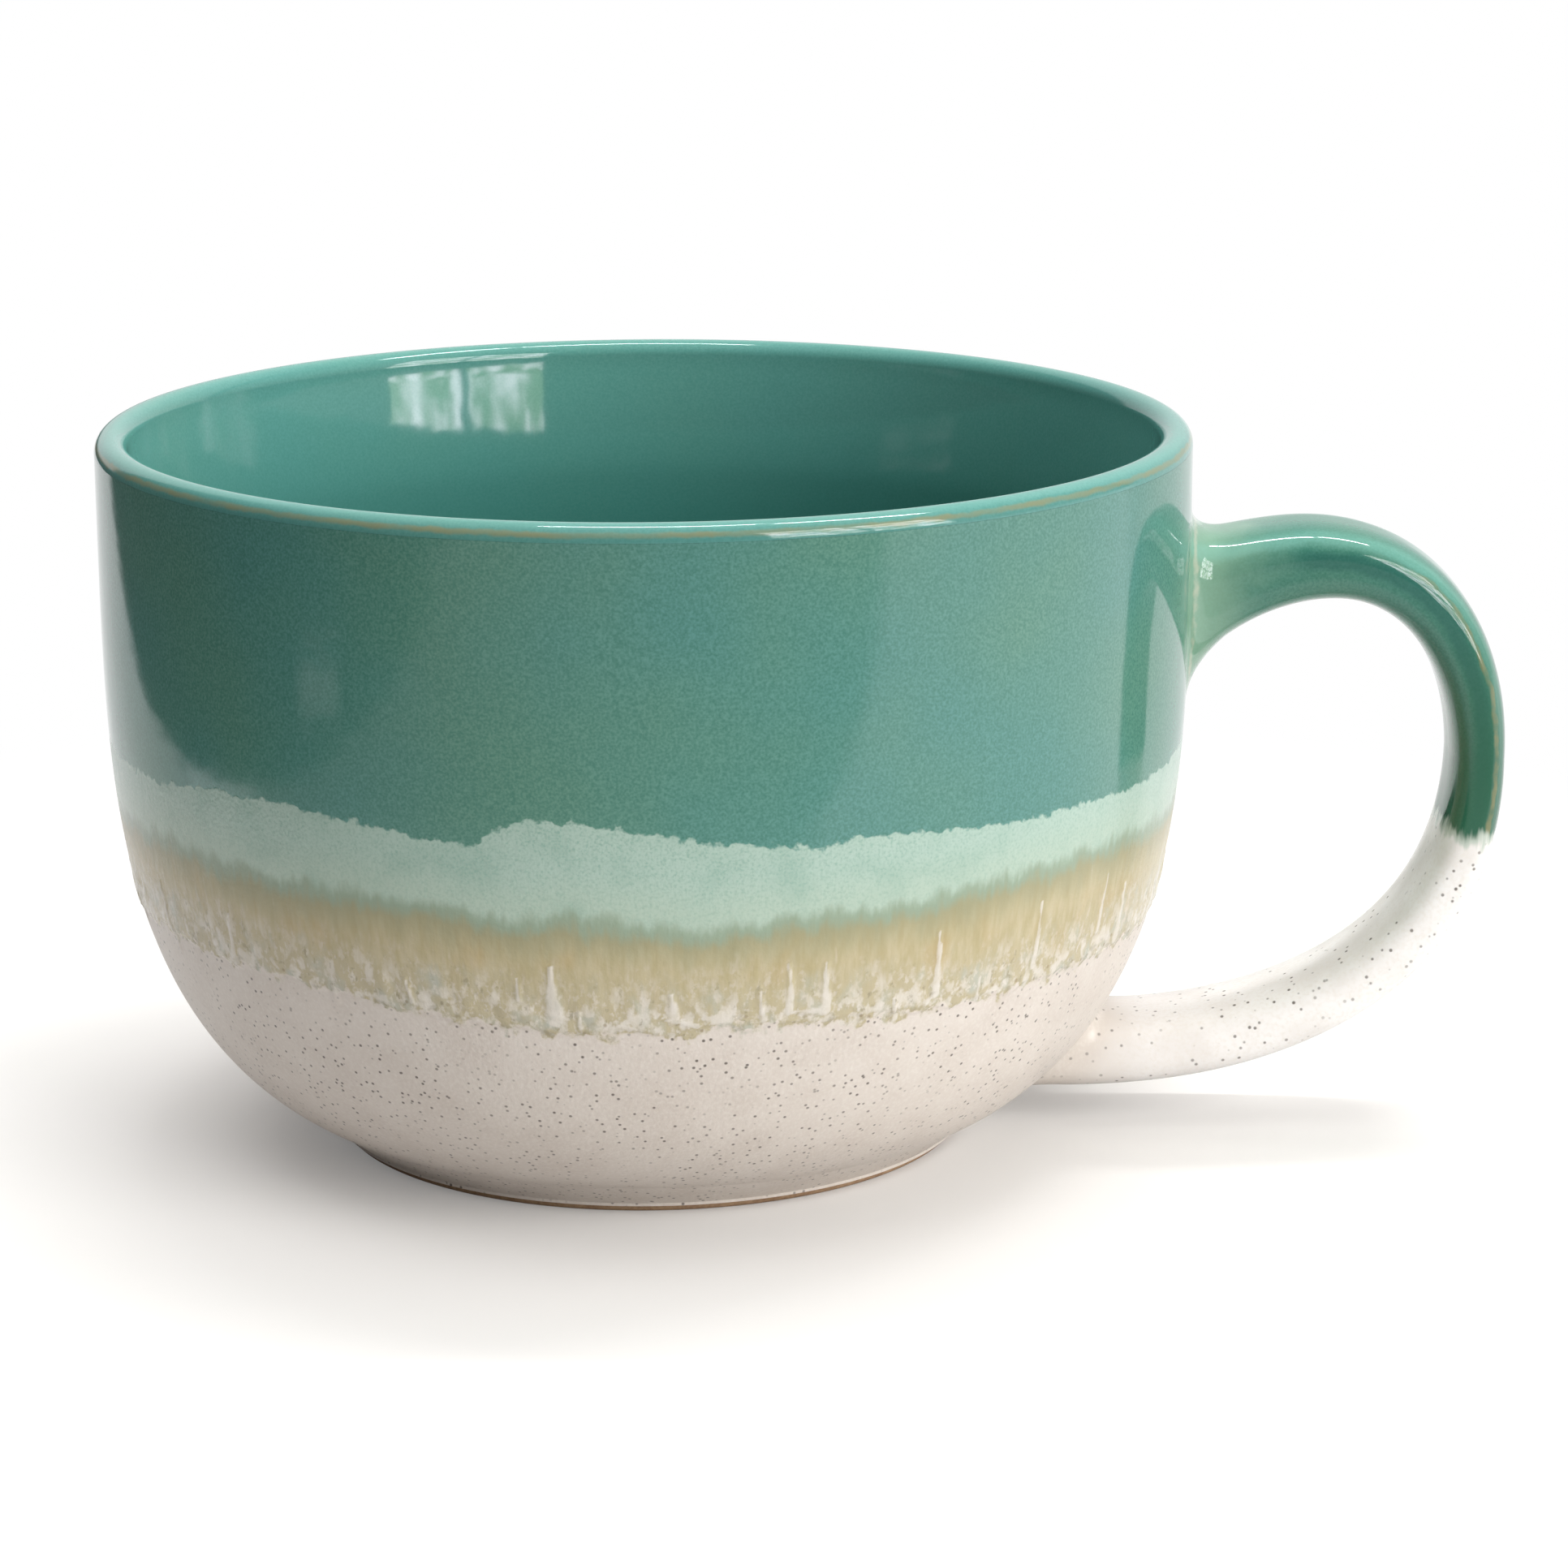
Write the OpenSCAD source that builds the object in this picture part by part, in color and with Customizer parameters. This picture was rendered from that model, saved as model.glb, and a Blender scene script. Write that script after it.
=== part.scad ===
// Soup mug: a wide stoneware bowl on a turned foot, with an ear handle luted on with slip.
// A liner glaze rolls over the lip, and bands of reactive glaze run down the outside.
// The origin is on the table at the middle of the foot, +Z is up and the handle points to +X.

/* [Bowl] */
// Outside diameter at the rim, over the glaze
rim_d = 130; // [110:1:160]
// Height from the table to the top of the lip
mug_h = 86; // [76:1:110]
// Thickness of the clay at the lip
lip_t = 3; // [2.4:0.1:4]
// Thickness of the clay where the bowl leaves its foot
base_t = 5; // [4:0.1:6]
// Thickness of the clay at the middle of the floor
floor_t = 5.2; // [4:0.1:6]

/* [Foot] */
// Outside diameter of the foot ring
foot_d = 76; // [66:1:84]
// Height of the foot, from the table to where the bowl starts
foot_h = 3.6; // [3:0.1:5]
// Width of the foot ring, from its outside to the recess
foot_w = 6; // [4:0.5:10]
// Depth of the recess under the floor
recess_h = 2.4; // [1.6:0.1:2.8]
// Radius of the worn edges of the foot ring
foot_edge_r = 0.8; // [0.4:0.1:0.8]

/* [Handle] */
// Width of the handle, across the hand
handle_w = 15; // [12:0.5:20]
// Thickness of the handle at its outermost point
handle_t = 5.6; // [5:0.2:8]
// Thickness of the handle where it meets the bowl
root_t = 8.6; // [8:0.2:10]
// Thickness that the handle gains by flaring at its upper root
root_flare = 9; // [0:0.5:10]
// Reach of the handle beyond the rim
handle_reach = 38.1; // [30:0.1:48]
// Distance from the top of the lip down to the middle of the upper root
upper_root_drop = 21.7; // [20:0.1:26]
// Height of the middle of the lower root above the table
lower_root_h = 9.3; // [9:0.1:14]

/* [Slip joints] */
// Thickness of the slip between the handle and the bowl
slip_t = 0.5; // [0.3:0.1:1]
// Height of the fillet that the smoothed slip makes above and below the upper root
upper_fillet = 5.5; // [3:0.5:6]
// Height of the fillet that it makes above and below the lower root
lower_fillet = 3.5; // [2:0.5:4.5]
// Width of the fillet that it makes beside each root
side_fillet = 3.5; // [2:0.5:4.5]

/* [Glaze] */
// Thickness of the glaze
glaze_t = 0.45; // [0.3:0.05:0.7]
// Height of the teal band, down from the top of the lip
green_h = 36; // [30:1:42]
// Height of the mint band
mint_h = 8.5; // [5:0.5:11]
// Height of the amber band
amber_h = 13.5; // [9:0.5:16]
// Height of the bare clay line left at the foot
bare_h = 0.9; // [0.8:0.1:1.4]

/* [Hidden] */
$fn = 96;

// Gap between a slip joint and the clay that it lies on
seat_gap = 0.1;
// Powers of the curve of the outside wall: how late it turns upright, how flat it leaves the foot
wall_rise_share = 4;
wall_spread_share = 1.56;
// Share of the wall's height from which it thins to its lip, and the power by which it does
flare_share = 0.82;
thinning_share = 1.2;
// Share of the floor that is flat before it turns up into the wall
flat_floor_share = 0.88;
// Share of the wall's height at which the hollow above the foot runs out into the wall
hollow_share = 0.006;
// Share of the foot's height at which that hollow starts
hollow_start_share = 0.5;
// Power that crowds the points of a curve towards its tight end
crowd_share = 1.7;
// Steps along each band of the outside wall, the inside, the lip and the small curves
cream_steps = 14;
amber_steps = 4;
mint_steps = 3;
green_steps = 8;
well_steps = 20;
floor_steps = 8;
lip_steps = 8;
hollow_steps = 5;
edge_steps = 4;

// Power of the handle's section: 2 is an ellipse, larger is squarer
section_power = 3;
// Sides of the handle's section, rings along it and rings across each fillet
sides = 28;
path_steps = 40;
fillet_steps = 4;
// Shape of the handle's line: each arm is a share of the run that it crosses
upper_arm_share = 0.63;
upper_lift_share = 0.58;
bend_share = 0.66;
upper_bend_arm_share = 0.97;
lower_bend_arm_share = 0.96;
lower_arm_share = 0.22;
lower_drop_share = 0.14;
// Power by which the flare of the upper root dies away along the handle
flare_power_share = 9;
// Share of the handle's line over which an end bends to the shape of the wall
cope_share = 0.2;
// Share of the rings at which the teal glaze on the handle gives way to cream
green_stop_share = 0.55;
// Rings across the end of the handle, and across the foot of a fillet
end_steps = 3;
toe_steps = 2;

teal = "#4f7f74";
deep_teal = "#3f7d72";
mint = "#a9c9b4";
honey = "#b98a45";
cream = "#d8d3c6";
clay = "#a98768";
slip = "#b59a7e";

// Radius and height of the clay under the glaze, at the rim
rim_r = rim_d / 2 - glaze_t;
lip_r = lip_t / 2;
lip_z = mug_h - glaze_t - lip_r;
foot_r = foot_d / 2;
recess_r = foot_r - foot_w;
floor_z = recess_h + floor_t;

function mix(a, b, t) = a + (b - a) * t;
function curve2(p, q, r, t) = mix(mix(p, q, t), mix(q, r, t), t);
function flip(list) = [for (i = [len(list) - 1 : -1 : 0]) list[i]];
function slice(list, from, to) = [for (i = [from : to]) list[i]];
function arc(middle, r, from, to, steps) =
    [for (i = [0 : steps])
        let (a = mix(from, to, i / steps))
        middle + r * [cos(a), sin(a)]];

// Outside wall of the clay: a superellipse from the foot to the lip, by its share of the height
wall_share = function(z) (z - foot_h) / (lip_z - foot_h);
function wall_point(u) =
    let (spread = pow(1 - pow(1 - u, wall_rise_share), 1 / wall_spread_share))
    [mix(foot_r, rim_r, spread), mix(foot_h, lip_z, u)];

// Heights of the edges between the bands, as shares of the wall
green_edge = wall_share(mug_h - green_h);
mint_edge = wall_share(mug_h - green_h - mint_h);
amber_edge = wall_share(mug_h - green_h - mint_h - amber_h);

// Outside of the clay from the bare line on the foot, through the hollow, up to the lip
hollow_end = wall_point(hollow_share);
hollow_points = [for (i = [0 : hollow_steps])
    curve2([foot_r, foot_h * hollow_start_share], [foot_r, foot_h], hollow_end, i / hollow_steps)];
cream_points = [for (i = [1 : cream_steps])
    wall_point(mix(hollow_share, amber_edge, pow(i / cream_steps, crowd_share)))];
amber_points = [for (i = [1 : amber_steps]) wall_point(mix(amber_edge, mint_edge, i / amber_steps))];
mint_points = [for (i = [1 : mint_steps]) wall_point(mix(mint_edge, green_edge, i / mint_steps))];
green_points = [for (i = [1 : green_steps]) wall_point(mix(green_edge, 1, i / green_steps))];
wall_points = concat(cream_points, amber_points, mint_points, green_points);
outside = concat([[foot_r, bare_h]], hollow_points, wall_points);
cream_end = 1 + hollow_steps + cream_steps;
amber_end = cream_end + amber_steps;
mint_end = amber_end + mint_steps;
green_end = mint_end + green_steps;

// Offset of an open line to its left, point by point; an end on the axis stays on the axis
function line_normal(line, i) =
    let (a = line[max(i - 1, 0)], b = line[min(i + 1, len(line) - 1)], d = (b - a) / norm(b - a))
    [-d[1], d[0]];
function beside(line, by) =
    [for (i = [0 : len(line) - 1]) line[i][0] == 0
        ? line[i] + [0, by]
        : line[i] + by * line_normal(line, i)];

// Inside of the clay: the floor, then the outside wall moved in by the clay, then over the lip
well_shares = [for (i = [0 : well_steps]) mix(hollow_share, 1, pow(i / well_steps, crowd_share))];
well_backing = [for (u = well_shares) wall_point(u)];
function well_t(u) =
    let (top = max(u - flare_share, 0) / (1 - flare_share))
    mix(base_t, lip_t, pow(top, thinning_share));
well_points = [for (i = [0 : well_steps])
    well_backing[i] + well_t(well_shares[i]) * line_normal(well_backing, i)];
well_start = well_points[0];
floor_points = [for (i = [0 : floor_steps - 1])
    curve2([0, floor_z], [well_start[0] * flat_floor_share, floor_z], well_start, i / floor_steps)];
lip_points = arc([rim_r - lip_r, lip_z], lip_r, 180, 0, lip_steps);
inside = concat(floor_points, slice(well_points, 0, well_steps - 1), lip_points);

glaze_outside = beside(outside, -glaze_t);
glaze_inside = beside(inside, glaze_t);

// Radius of the clay and of the glaze at a height on the outside wall
clay_table = [for (p = outside) [p[1], p[0]]];
glaze_table = [for (p = glaze_outside) [p[1], p[0]]];
clay_x = function(y, z) sqrt(pow(lookup(z, clay_table), 2) - y * y);
glaze_x = function(y, z) sqrt(pow(lookup(z, glaze_table), 2) - y * y);
lowest_toe_z = hollow_end[1];
wall_step = lip_t / 2;
wall_steepness = function(z)
    let (spread = lookup(z + wall_step, clay_table) - lookup(z - wall_step, clay_table))
    1 / sqrt(1 + pow(spread / (2 * wall_step), 2));

// Line of the handle in the XZ plane: two cubic curves that meet, upright, at the outermost point
upper_z = mug_h - upper_root_drop;
upper_x = lookup(upper_z, clay_table);
lower_x = lookup(lower_root_h, clay_table);
bend_x = rim_d / 2 + handle_reach - handle_t / 2 - glaze_t;
bend_z = mix(lower_root_h, upper_z, bend_share);
upper_arm = (bend_x - upper_x) * upper_arm_share;
lower_arm = (bend_x - lower_x) * lower_arm_share;
upper_curve = [
    [upper_x, upper_z],
    [upper_x + upper_arm, upper_z + upper_arm * upper_lift_share],
    [bend_x, mix(bend_z, upper_z, upper_bend_arm_share)],
    [bend_x, bend_z]];
lower_curve = [
    [bend_x, bend_z],
    [bend_x, mix(bend_z, lower_root_h, lower_bend_arm_share)],
    [lower_x + lower_arm, lower_root_h - lower_arm * lower_drop_share],
    [lower_x, lower_root_h]];
function cubic(p, t) = mix(curve2(p[0], p[1], p[2], t), curve2(p[1], p[2], p[3], t), t);
function cubic_way(p, t) =
    let (d = curve2(p[1] - p[0], p[2] - p[1], p[3] - p[2], t))
    d / norm(d);
function on_upper(s) = s < 0.5;
function line_point(s) = on_upper(s) ? cubic(upper_curve, 2 * s) : cubic(lower_curve, 2 * s - 1);
function line_way(s) = on_upper(s) ? cubic_way(upper_curve, 2 * s) : cubic_way(lower_curve, 2 * s - 1);
function flare(s) = on_upper(s) ? root_flare * pow(1 - 2 * s, flare_power_share) : 0;
function half_t(s) = (mix(handle_t, root_t, abs(2 * s - 1)) + flare(s)) / 2;

// Section of the handle: a superellipse square to its line, grown by a margin
function rounded(v) = sign(v) * pow(abs(v), 2 / section_power);
function section(s, grow) =
    let (c = line_point(s), w = line_way(s), h = half_t(s) + grow, half_w = handle_w / 2 + grow)
    [for (j = [0 : sides - 1])
        let (a = 360 * j / sides, across = rounded(cos(a)) * h)
        [c[0] - w[1] * across, half_w * rounded(sin(a)), c[1] + w[0] * across]];

// A point moved along X onto the clay wall, and lifted off it
function seated(p, lift) = [clay_x(p[1], p[2]) + lift, p[1], p[2]];
function seated_ring(ring, lift) = [for (p = ring) seated(p, lift)];
function shrunk(ring, middle, share) = [for (p = ring) middle + (p - middle) * share];

// Rings along the handle, whose ends bend to the shape of the wall
function cope_weight(s) = s < cope_share ? pow(1 - s / cope_share, 2) : 0;
upper_root = section(0, 0);
lower_root = section(1, 0);
function coped(s, grow) =
    let (ring = section(s, grow), up = cope_weight(s), low = cope_weight(1 - s))
    [for (j = [0 : sides - 1])
        let (a = seated(upper_root[j], slip_t)[0] - upper_root[j][0])
        let (b = seated(lower_root[j], slip_t)[0] - lower_root[j][0])
        ring[j] + [up * a + low * b, 0, 0]];

// Share of the line that each fillet climbs: a cubic leaves its end at three arms to its whole run,
// which is half of the line. Then the rings between the two fillets
upper_climb = upper_fillet / norm(upper_curve[1] - upper_curve[0]) / 6;
lower_climb = lower_fillet / norm(lower_curve[3] - lower_curve[2]) / 6;
stations = [for (i = [0 : path_steps]) mix(upper_climb, 1 - lower_climb, i / path_steps)];
clay_rings = [for (s = stations) coped(s, 0)];
coat_rings = [for (s = stations) coped(s, glaze_t)];
green_stop = round(path_steps * green_stop_share);

// Toe of a fillet on the wall: the root grown along the wall, no lower than the hollow above the foot
function toe(s) =
    let (root = section(s, 0), side = section(s, side_fillet))
    let (tall = section(s, on_upper(s) ? upper_fillet : lower_fillet))
    [for (j = [0 : sides - 1])
        let (z = mix(root[j][2], tall[j][2], wall_steepness(root[j][2])))
        [0, side[j][1], max(z, lowest_toe_z)]];
function on_glaze(ring) = [for (p = ring) [glaze_x(p[1], p[2]), p[1], p[2]]];
// Rings of a fillet from its toe on the wall to the ring of the handle where it runs out
function fillet_rings(foot, corner, top) =
    [for (i = [0 : fillet_steps - 1])
        [for (j = [0 : sides - 1]) curve2(foot[j], corner[j], top[j], i / fillet_steps)]];
function slip_rings(s, top) =
    fillet_rings(seated_ring(toe(s), seat_gap), seated_ring(section(s, 0), seat_gap), top);
function coat_fillet_rings(s, top) =
    fillet_rings(on_glaze(toe(s)), on_glaze(section(s, glaze_t)), top);

// Faces of a stack of rings, and of its two round ends or of the way back to its first ring.
// Four points split along their shorter diagonal, so that faces that touch split alike
function quad(points, a, b, j) =
    let (k = (j + 1) % sides)
    norm(points[a + j] - points[b + k]) < norm(points[b + j] - points[a + k])
        ? [[a + j, b + j, b + k], [a + j, b + k, a + k]]
        : [[a + j, b + j, a + k], [b + j, b + k, a + k]];
function band_faces(points, a, b) = [for (j = [0 : sides - 1]) each quad(points, a, b, j)];
module capped_stack(first, rings, last, turned = false) {
    count = len(rings);
    tip = count * sides;
    points = concat([for (r = rings) each r], [first, last]);
    stack = [for (i = [0 : count - 2]) each band_faces(points, i * sides, (i + 1) * sides)];
    start = [for (j = [0 : sides - 1]) [tip, j, (j + 1) % sides]];
    end = [for (j = [0 : sides - 1]) [tip + 1, tip - sides + (j + 1) % sides, tip - sides + j]];
    faces = concat(stack, start, end);
    polyhedron(points, turned ? [for (f = faces) flip(f)] : faces);
}
module looped_stack(rings) {
    count = len(rings);
    points = [for (r = rings) each r];
    polyhedron(points,
        [for (i = [0 : count - 1]) each band_faces(points, i * sides, ((i + 1) % count) * sides)]);
}

// End of the handle at a root: its middle, and the rings from there out to its edge
function end_middle(s, lift) =
    let (c = line_point(s))
    seated([c[0], 0, c[1]], lift);
function end_rings(s, lift) =
    let (c = line_point(s))
    [for (i = [1 : end_steps])
        seated_ring(shrunk(section(s, 0), [c[0], 0, c[1]], i / end_steps), lift)];
// Rings on the wall under a fillet, between its toe and the edge of the handle
function toe_rings(s) =
    [for (i = [1 : toe_steps - 1])
        seated_ring(mix(toe(s), section(s, 0), i / toe_steps), seat_gap)];

// Strip of glaze between two places on the outside wall
module wall_strip(from, to) {
    difference() {
        rotate_extrude()
            polygon(concat(slice(outside, from, to), flip(slice(glaze_outside, from, to))));
        root_window(0);
        root_window(1);
    }
}

// Opening in the glaze where a fillet lies on the clay
module root_window(s) {
    rotate([90, 0, 90])
        linear_extrude(rim_d)
            polygon([for (p = toe(s)) [p[1], p[2]]]);
}

// A slip joint lies between the wall and the end of the handle, and climbs both in a fillet
module slip_joint(s, top, turned) {
    capped_stack(
        end_middle(s, slip_t),
        concat(
            end_rings(s, slip_t),
            [top],
            flip(slip_rings(s, top)),
            toe_rings(s),
            flip(end_rings(s, seat_gap))),
        end_middle(s, seat_gap),
        turned);
}

module bowl() {
    foot_arc = arc([foot_r - foot_edge_r, foot_edge_r], foot_edge_r, -90, 0, edge_steps);
    recess_arc = arc([recess_r + foot_edge_r, foot_edge_r], foot_edge_r, 180, 270, edge_steps);
    color(clay)
        rotate_extrude()
            polygon(concat(
                [[0, recess_h], [recess_r, recess_h]],
                recess_arc,
                foot_arc,
                outside,
                flip(inside)));
}

module handle() {
    color(clay)
        capped_stack(
            end_middle(0, slip_t),
            concat(end_rings(0, slip_t), clay_rings, flip(end_rings(1, slip_t))),
            end_middle(1, slip_t),
            turned = true);
}

module upper_slip_joint() {
    color(slip)
        slip_joint(0, clay_rings[0], turned = false);
}

module lower_slip_joint() {
    color(slip)
        slip_joint(1, clay_rings[path_steps], turned = true);
}

module liner_glaze() {
    color(deep_teal)
        rotate_extrude()
            polygon(concat(inside, flip(glaze_inside)));
}

module green_glaze() {
    color(teal)
        wall_strip(mint_end, green_end);
}

module mint_glaze() {
    color(mint)
        wall_strip(amber_end, mint_end);
}

module amber_glaze() {
    color(honey)
        wall_strip(cream_end, amber_end);
}

module cream_glaze() {
    color(cream)
        wall_strip(0, cream_end);
}

module base_glaze() {
    color(cream)
        translate([0, 0, recess_h - glaze_t])
            cylinder(r = recess_r, h = glaze_t);
}

module handle_green_glaze() {
    color(teal)
        looped_stack(concat(
            slip_rings(0, clay_rings[0]),
            slice(clay_rings, 0, green_stop),
            flip(slice(coat_rings, 0, green_stop)),
            flip(coat_fillet_rings(0, coat_rings[0]))));
}

module handle_cream_glaze() {
    color(cream)
        looped_stack(concat(
            slice(clay_rings, green_stop, path_steps),
            flip(slip_rings(1, clay_rings[path_steps])),
            coat_fillet_rings(1, coat_rings[path_steps]),
            flip(slice(coat_rings, green_stop, path_steps))));
}

bowl();
handle();
upper_slip_joint();
lower_slip_joint();
liner_glaze();
green_glaze();
mint_glaze();
amber_glaze();
cream_glaze();
base_glaze();
handle_green_glaze();
handle_cream_glaze();
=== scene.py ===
import math

import bpy
import numpy as np
from mathutils import Color, Matrix, Vector


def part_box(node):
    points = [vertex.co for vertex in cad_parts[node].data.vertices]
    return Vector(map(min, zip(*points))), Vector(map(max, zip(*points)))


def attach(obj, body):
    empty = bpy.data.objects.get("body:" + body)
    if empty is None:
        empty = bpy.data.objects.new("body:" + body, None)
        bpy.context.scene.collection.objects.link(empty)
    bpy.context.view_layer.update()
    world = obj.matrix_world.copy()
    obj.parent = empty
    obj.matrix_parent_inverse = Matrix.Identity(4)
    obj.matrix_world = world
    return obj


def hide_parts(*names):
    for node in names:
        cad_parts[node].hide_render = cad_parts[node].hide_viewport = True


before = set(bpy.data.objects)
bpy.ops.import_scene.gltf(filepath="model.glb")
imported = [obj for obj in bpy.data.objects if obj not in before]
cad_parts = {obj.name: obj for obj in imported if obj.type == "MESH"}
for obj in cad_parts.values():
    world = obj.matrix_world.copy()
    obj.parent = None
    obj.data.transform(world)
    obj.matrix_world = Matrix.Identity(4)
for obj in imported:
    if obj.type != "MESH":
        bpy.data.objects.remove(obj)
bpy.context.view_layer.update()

# Sizes are in millimetres and angles in degrees; meshes, lamps and the camera turn them into metres
MM = 0.001


def corners(node):
    """Lowest and highest corner of a solid, in millimetres."""
    low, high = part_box(node)
    return np.array(low) / MM, np.array(high) / MM


# Sizes read from the solids
MUG_H = corners("liner_glaze")[1][2]
RIM_R = corners("green_glaze")[1][1]
REACH_X = corners("handle_green_glaze")[1][0]
HANDLE_HALF_W = corners("handle")[1][1]

# Sizes of the clay and of its glaze, as in the solids
GLAZE_T = 0.45
LIP_T = 3
BASE_T = 5
FOOT_R = 38
FOOT_H = 3.6
FOOT_W = 6
FOOT_EDGE_R = 0.8
RECESS_H = 2.4
FLOOR_Z = 7.6
BARE_H = 0.9
HANDLE_T = 5.6
ROOT_T = 8.6
ROOT_FLARE = 9
UPPER_ROOT_Z = 64.3
LOWER_ROOT_Z = 9.3
SLIP_T = 0.5
UPPER_FILLET = 5.5
LOWER_FILLET = 3.5
SIDE_FILLET = 3.5
SEAT_GAP = 0.1

# Shares that shape the wall, the floor and the hollow above the foot
WALL_RISE = 4
WALL_SPREAD = 1.56
FLARE = 0.82
THINNING = 1.2
FLAT_FLOOR = 0.88
HOLLOW = 0.006
HOLLOW_START = 0.5
CROWD = 1.7

# Shares that shape the line of the handle and its section
UPPER_ARM = 0.63
UPPER_LIFT = 0.58
BEND = 0.66
UPPER_BEND_ARM = 0.97
LOWER_BEND_ARM = 0.96
LOWER_ARM = 0.22
LOWER_DROP = 0.14
FLARE_POWER = 9
COPE = 0.2
SECTION_POWER = 3
CHANGE = 0.55

# Steps of the fine meshes
COLUMNS = 1080
LINE_STEPS = 400
CURVE_STEPS = 40
EDGE_STEPS = 8
HANDLE_SIDES = 120
HANDLE_RINGS = 200
FILLET_RINGS = 18
INNER_ROWS = 5
LIP_STRIDE = 2
FLOOR_STRIDE = 4
WELL_ROWS = 36
HIDDEN_STRIDE = 20
HANDLE_STRIDE = 4

# Lengths into which the flat layouts of the pieces are cut
LINER_LENGTHS = 2
CLAY_LENGTHS = 6
HANDLE_LENGTHS = 1

# Heights of the edges between the bands by azimuth, read round the front and guessed behind
TEAL_EDGE = (
    (-154, 50.4), (-147, 50.5), (-137, 52.1), (-129, 52.5), (-122, 52.2), (-111, 50.7), (-105.5, 50.2),
    (-103, 52.4), (-100, 53.3), (-96, 53.5), (-91, 52.7), (-82, 50.9), (-72, 49.9), (-66, 50.4),
    (-56, 49.8), (-45, 49.1), (-39, 49.4), (-28, 48.7), (-19, 49), (20, 50.6), (48, 49.6), (80, 51.4),
    (110, 50), (140, 51.6), (172, 50.4))
MINT_EDGE = (
    (-156, 42.8), (-146, 43.6), (-136, 42.8), (-129, 42.4), (-119, 42.8), (-111, 42.5), (-101, 41.3),
    (-96, 41.9), (-89, 41.3), (-83, 40.5), (-77, 41.1), (-68, 41.1), (-59, 41.7), (-49, 42.3), (-36, 42.7),
    (-21, 41.9), (15, 41.4), (50, 42.5), (85, 40.8), (120, 42), (155, 41.2))
AMBER_EDGE = (
    (-153, 31.7), (-136, 31.1), (-130, 31.1), (-122, 30.6), (-114, 29.9), (-105, 28.9), (-97, 28.4),
    (-80, 28.9), (-62, 28.5), (-52, 28.2), (-40, 28.6), (-31, 29.1), (0, 28.4), (35, 29.6), (70, 27.8),
    (105, 29), (140, 28.2), (170, 30))

# White runs of glaze: azimuth and height of the top, then of the foot, and half the width there
FRONT_RUNS = (
    (-137, 37.5, -137.5, 32.4, 0.5), (-122.8, 31.6, -122.9, 29.8, 0.6), (-113.8, 34, -113.2, 31.2, 0.35),
    (-101.7, 35.2, -101.7, 32.6, 0.3), (-97.9, 36.6, -98.1, 31.2, 0.8), (-95.4, 31.2, -95.3, 29.4, 0.35),
    (-85.9, 33.4, -85.7, 30.6, 0.8), (-87.1, 30.6, -83.2, 29.6, 0.35), (-77.2, 33.8, -76.6, 30, 0.35),
    (-74.1, 36.4, -73.9, 30.8, 0.5), (-70.1, 36.2, -70.1, 30.5, 0.65), (-73.9, 30.8, -70.1, 30.5, 0.5),
    (-62.3, 30.9, -61.8, 28.2, 0.4), (-57.8, 38.1, -57.2, 30.5, 0.55), (-57.2, 30.5, -58.4, 29.5, 0.4),
    (-51.7, 31.6, -51.5, 28.6, 0.3), (-44, 38.8, -43.8, 30.9, 0.4), (-32.2, 39.4, -32.6, 32.4, 0.4))
BACK_RUN_COUNT = 17
BACK_RUN_SPAN = (-22, 206)
BACK_RUN_TOP = (32, 38)
BACK_RUN_FOOT = (29, 31)
BACK_RUN_WIDTH = (0.3, 0.75)
BACK_RUN_SLANT = 1.2
RUN_TIP = 0.35
RUN_REACH = 2.5
RUN_EDGE = 1.5
RUN_SEED = 11

# Relief of the glaze: heights over the even coat, and the spans over which they come and go
RUN_RISE = 0.12
BEAD_RISE = 0.16
BEAD_FADE = 6
LACE_RISE = 0.12
LACE_SIZE = 1.5
LACE_DRAWN = 1.3
LACE_MIDDLE = 2.6
LACE_SPAN = 3.4
LACE_SEED = 2
EDGE_SPAN = 0.5
FRAY_RISE = 0.7
FRAY_SIZE = 2.4
FRAY_SEED = 1
WAVE_RISE = 0.05
WAVE_SIZE = 24
WAVE_SEED = 3
CALM_SPAN = 6

# Camera, in the frame of the part
CAMERA_AT = (18.12, -560.41, 182.84)
CAMERA_PITCH = 14.16
CAMERA_YAW = -0.175
CAMERA_ROLL = -0.17
SENSOR_W = 36
PHOTO_SIDE = 1932
FOCAL_PIXELS = 5876


def mix(a, b, t):
    return a + (b - a) * t


def smooth(t):
    """Eased step from 0 to 1."""
    t = np.clip(t, 0, 1)
    return t * t * (3 - 2 * t)


def quadratic(p, q, r, t):
    return mix(mix(p, q, t), mix(q, r, t), t)


def cubic(points, t):
    p, q, r, s = points
    return mix(quadratic(p, q, r, t), quadratic(q, r, s, t), t)


def unit(vectors):
    return vectors / np.linalg.norm(vectors, axis=-1, keepdims=True)


# Profile of the bowl
CLAY_R = RIM_R - GLAZE_T
WALL_SHARES = mix(HOLLOW, 1, np.linspace(0, 1, LINE_STEPS) ** CROWD)
CURVE_SHARES = np.linspace(0, 1, CURVE_STEPS)[:, None]
LIP_R = LIP_T / 2
LIP_Z = MUG_H - GLAZE_T - LIP_R


def wall_points(u):
    """Outside of the clay at shares u of the wall's height: radius and height."""
    spread = (1 - (1 - u) ** WALL_RISE) ** (1 / WALL_SPREAD)
    return np.c_[mix(FOOT_R, CLAY_R, spread), mix(FOOT_H, LIP_Z, u)]


def clay_thickness(u):
    """Thickness of the clay at shares u of the wall's height: even, then thinning to the lip."""
    top = np.maximum(u - FLARE, 0) / (1 - FLARE)
    return mix(BASE_T, LIP_T, top ** THINNING)


def left_of(line):
    """Unit normals to the left of an open line."""
    way = unit(np.gradient(line, axis=0))
    return np.c_[-way[:, 1], way[:, 0]]


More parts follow.
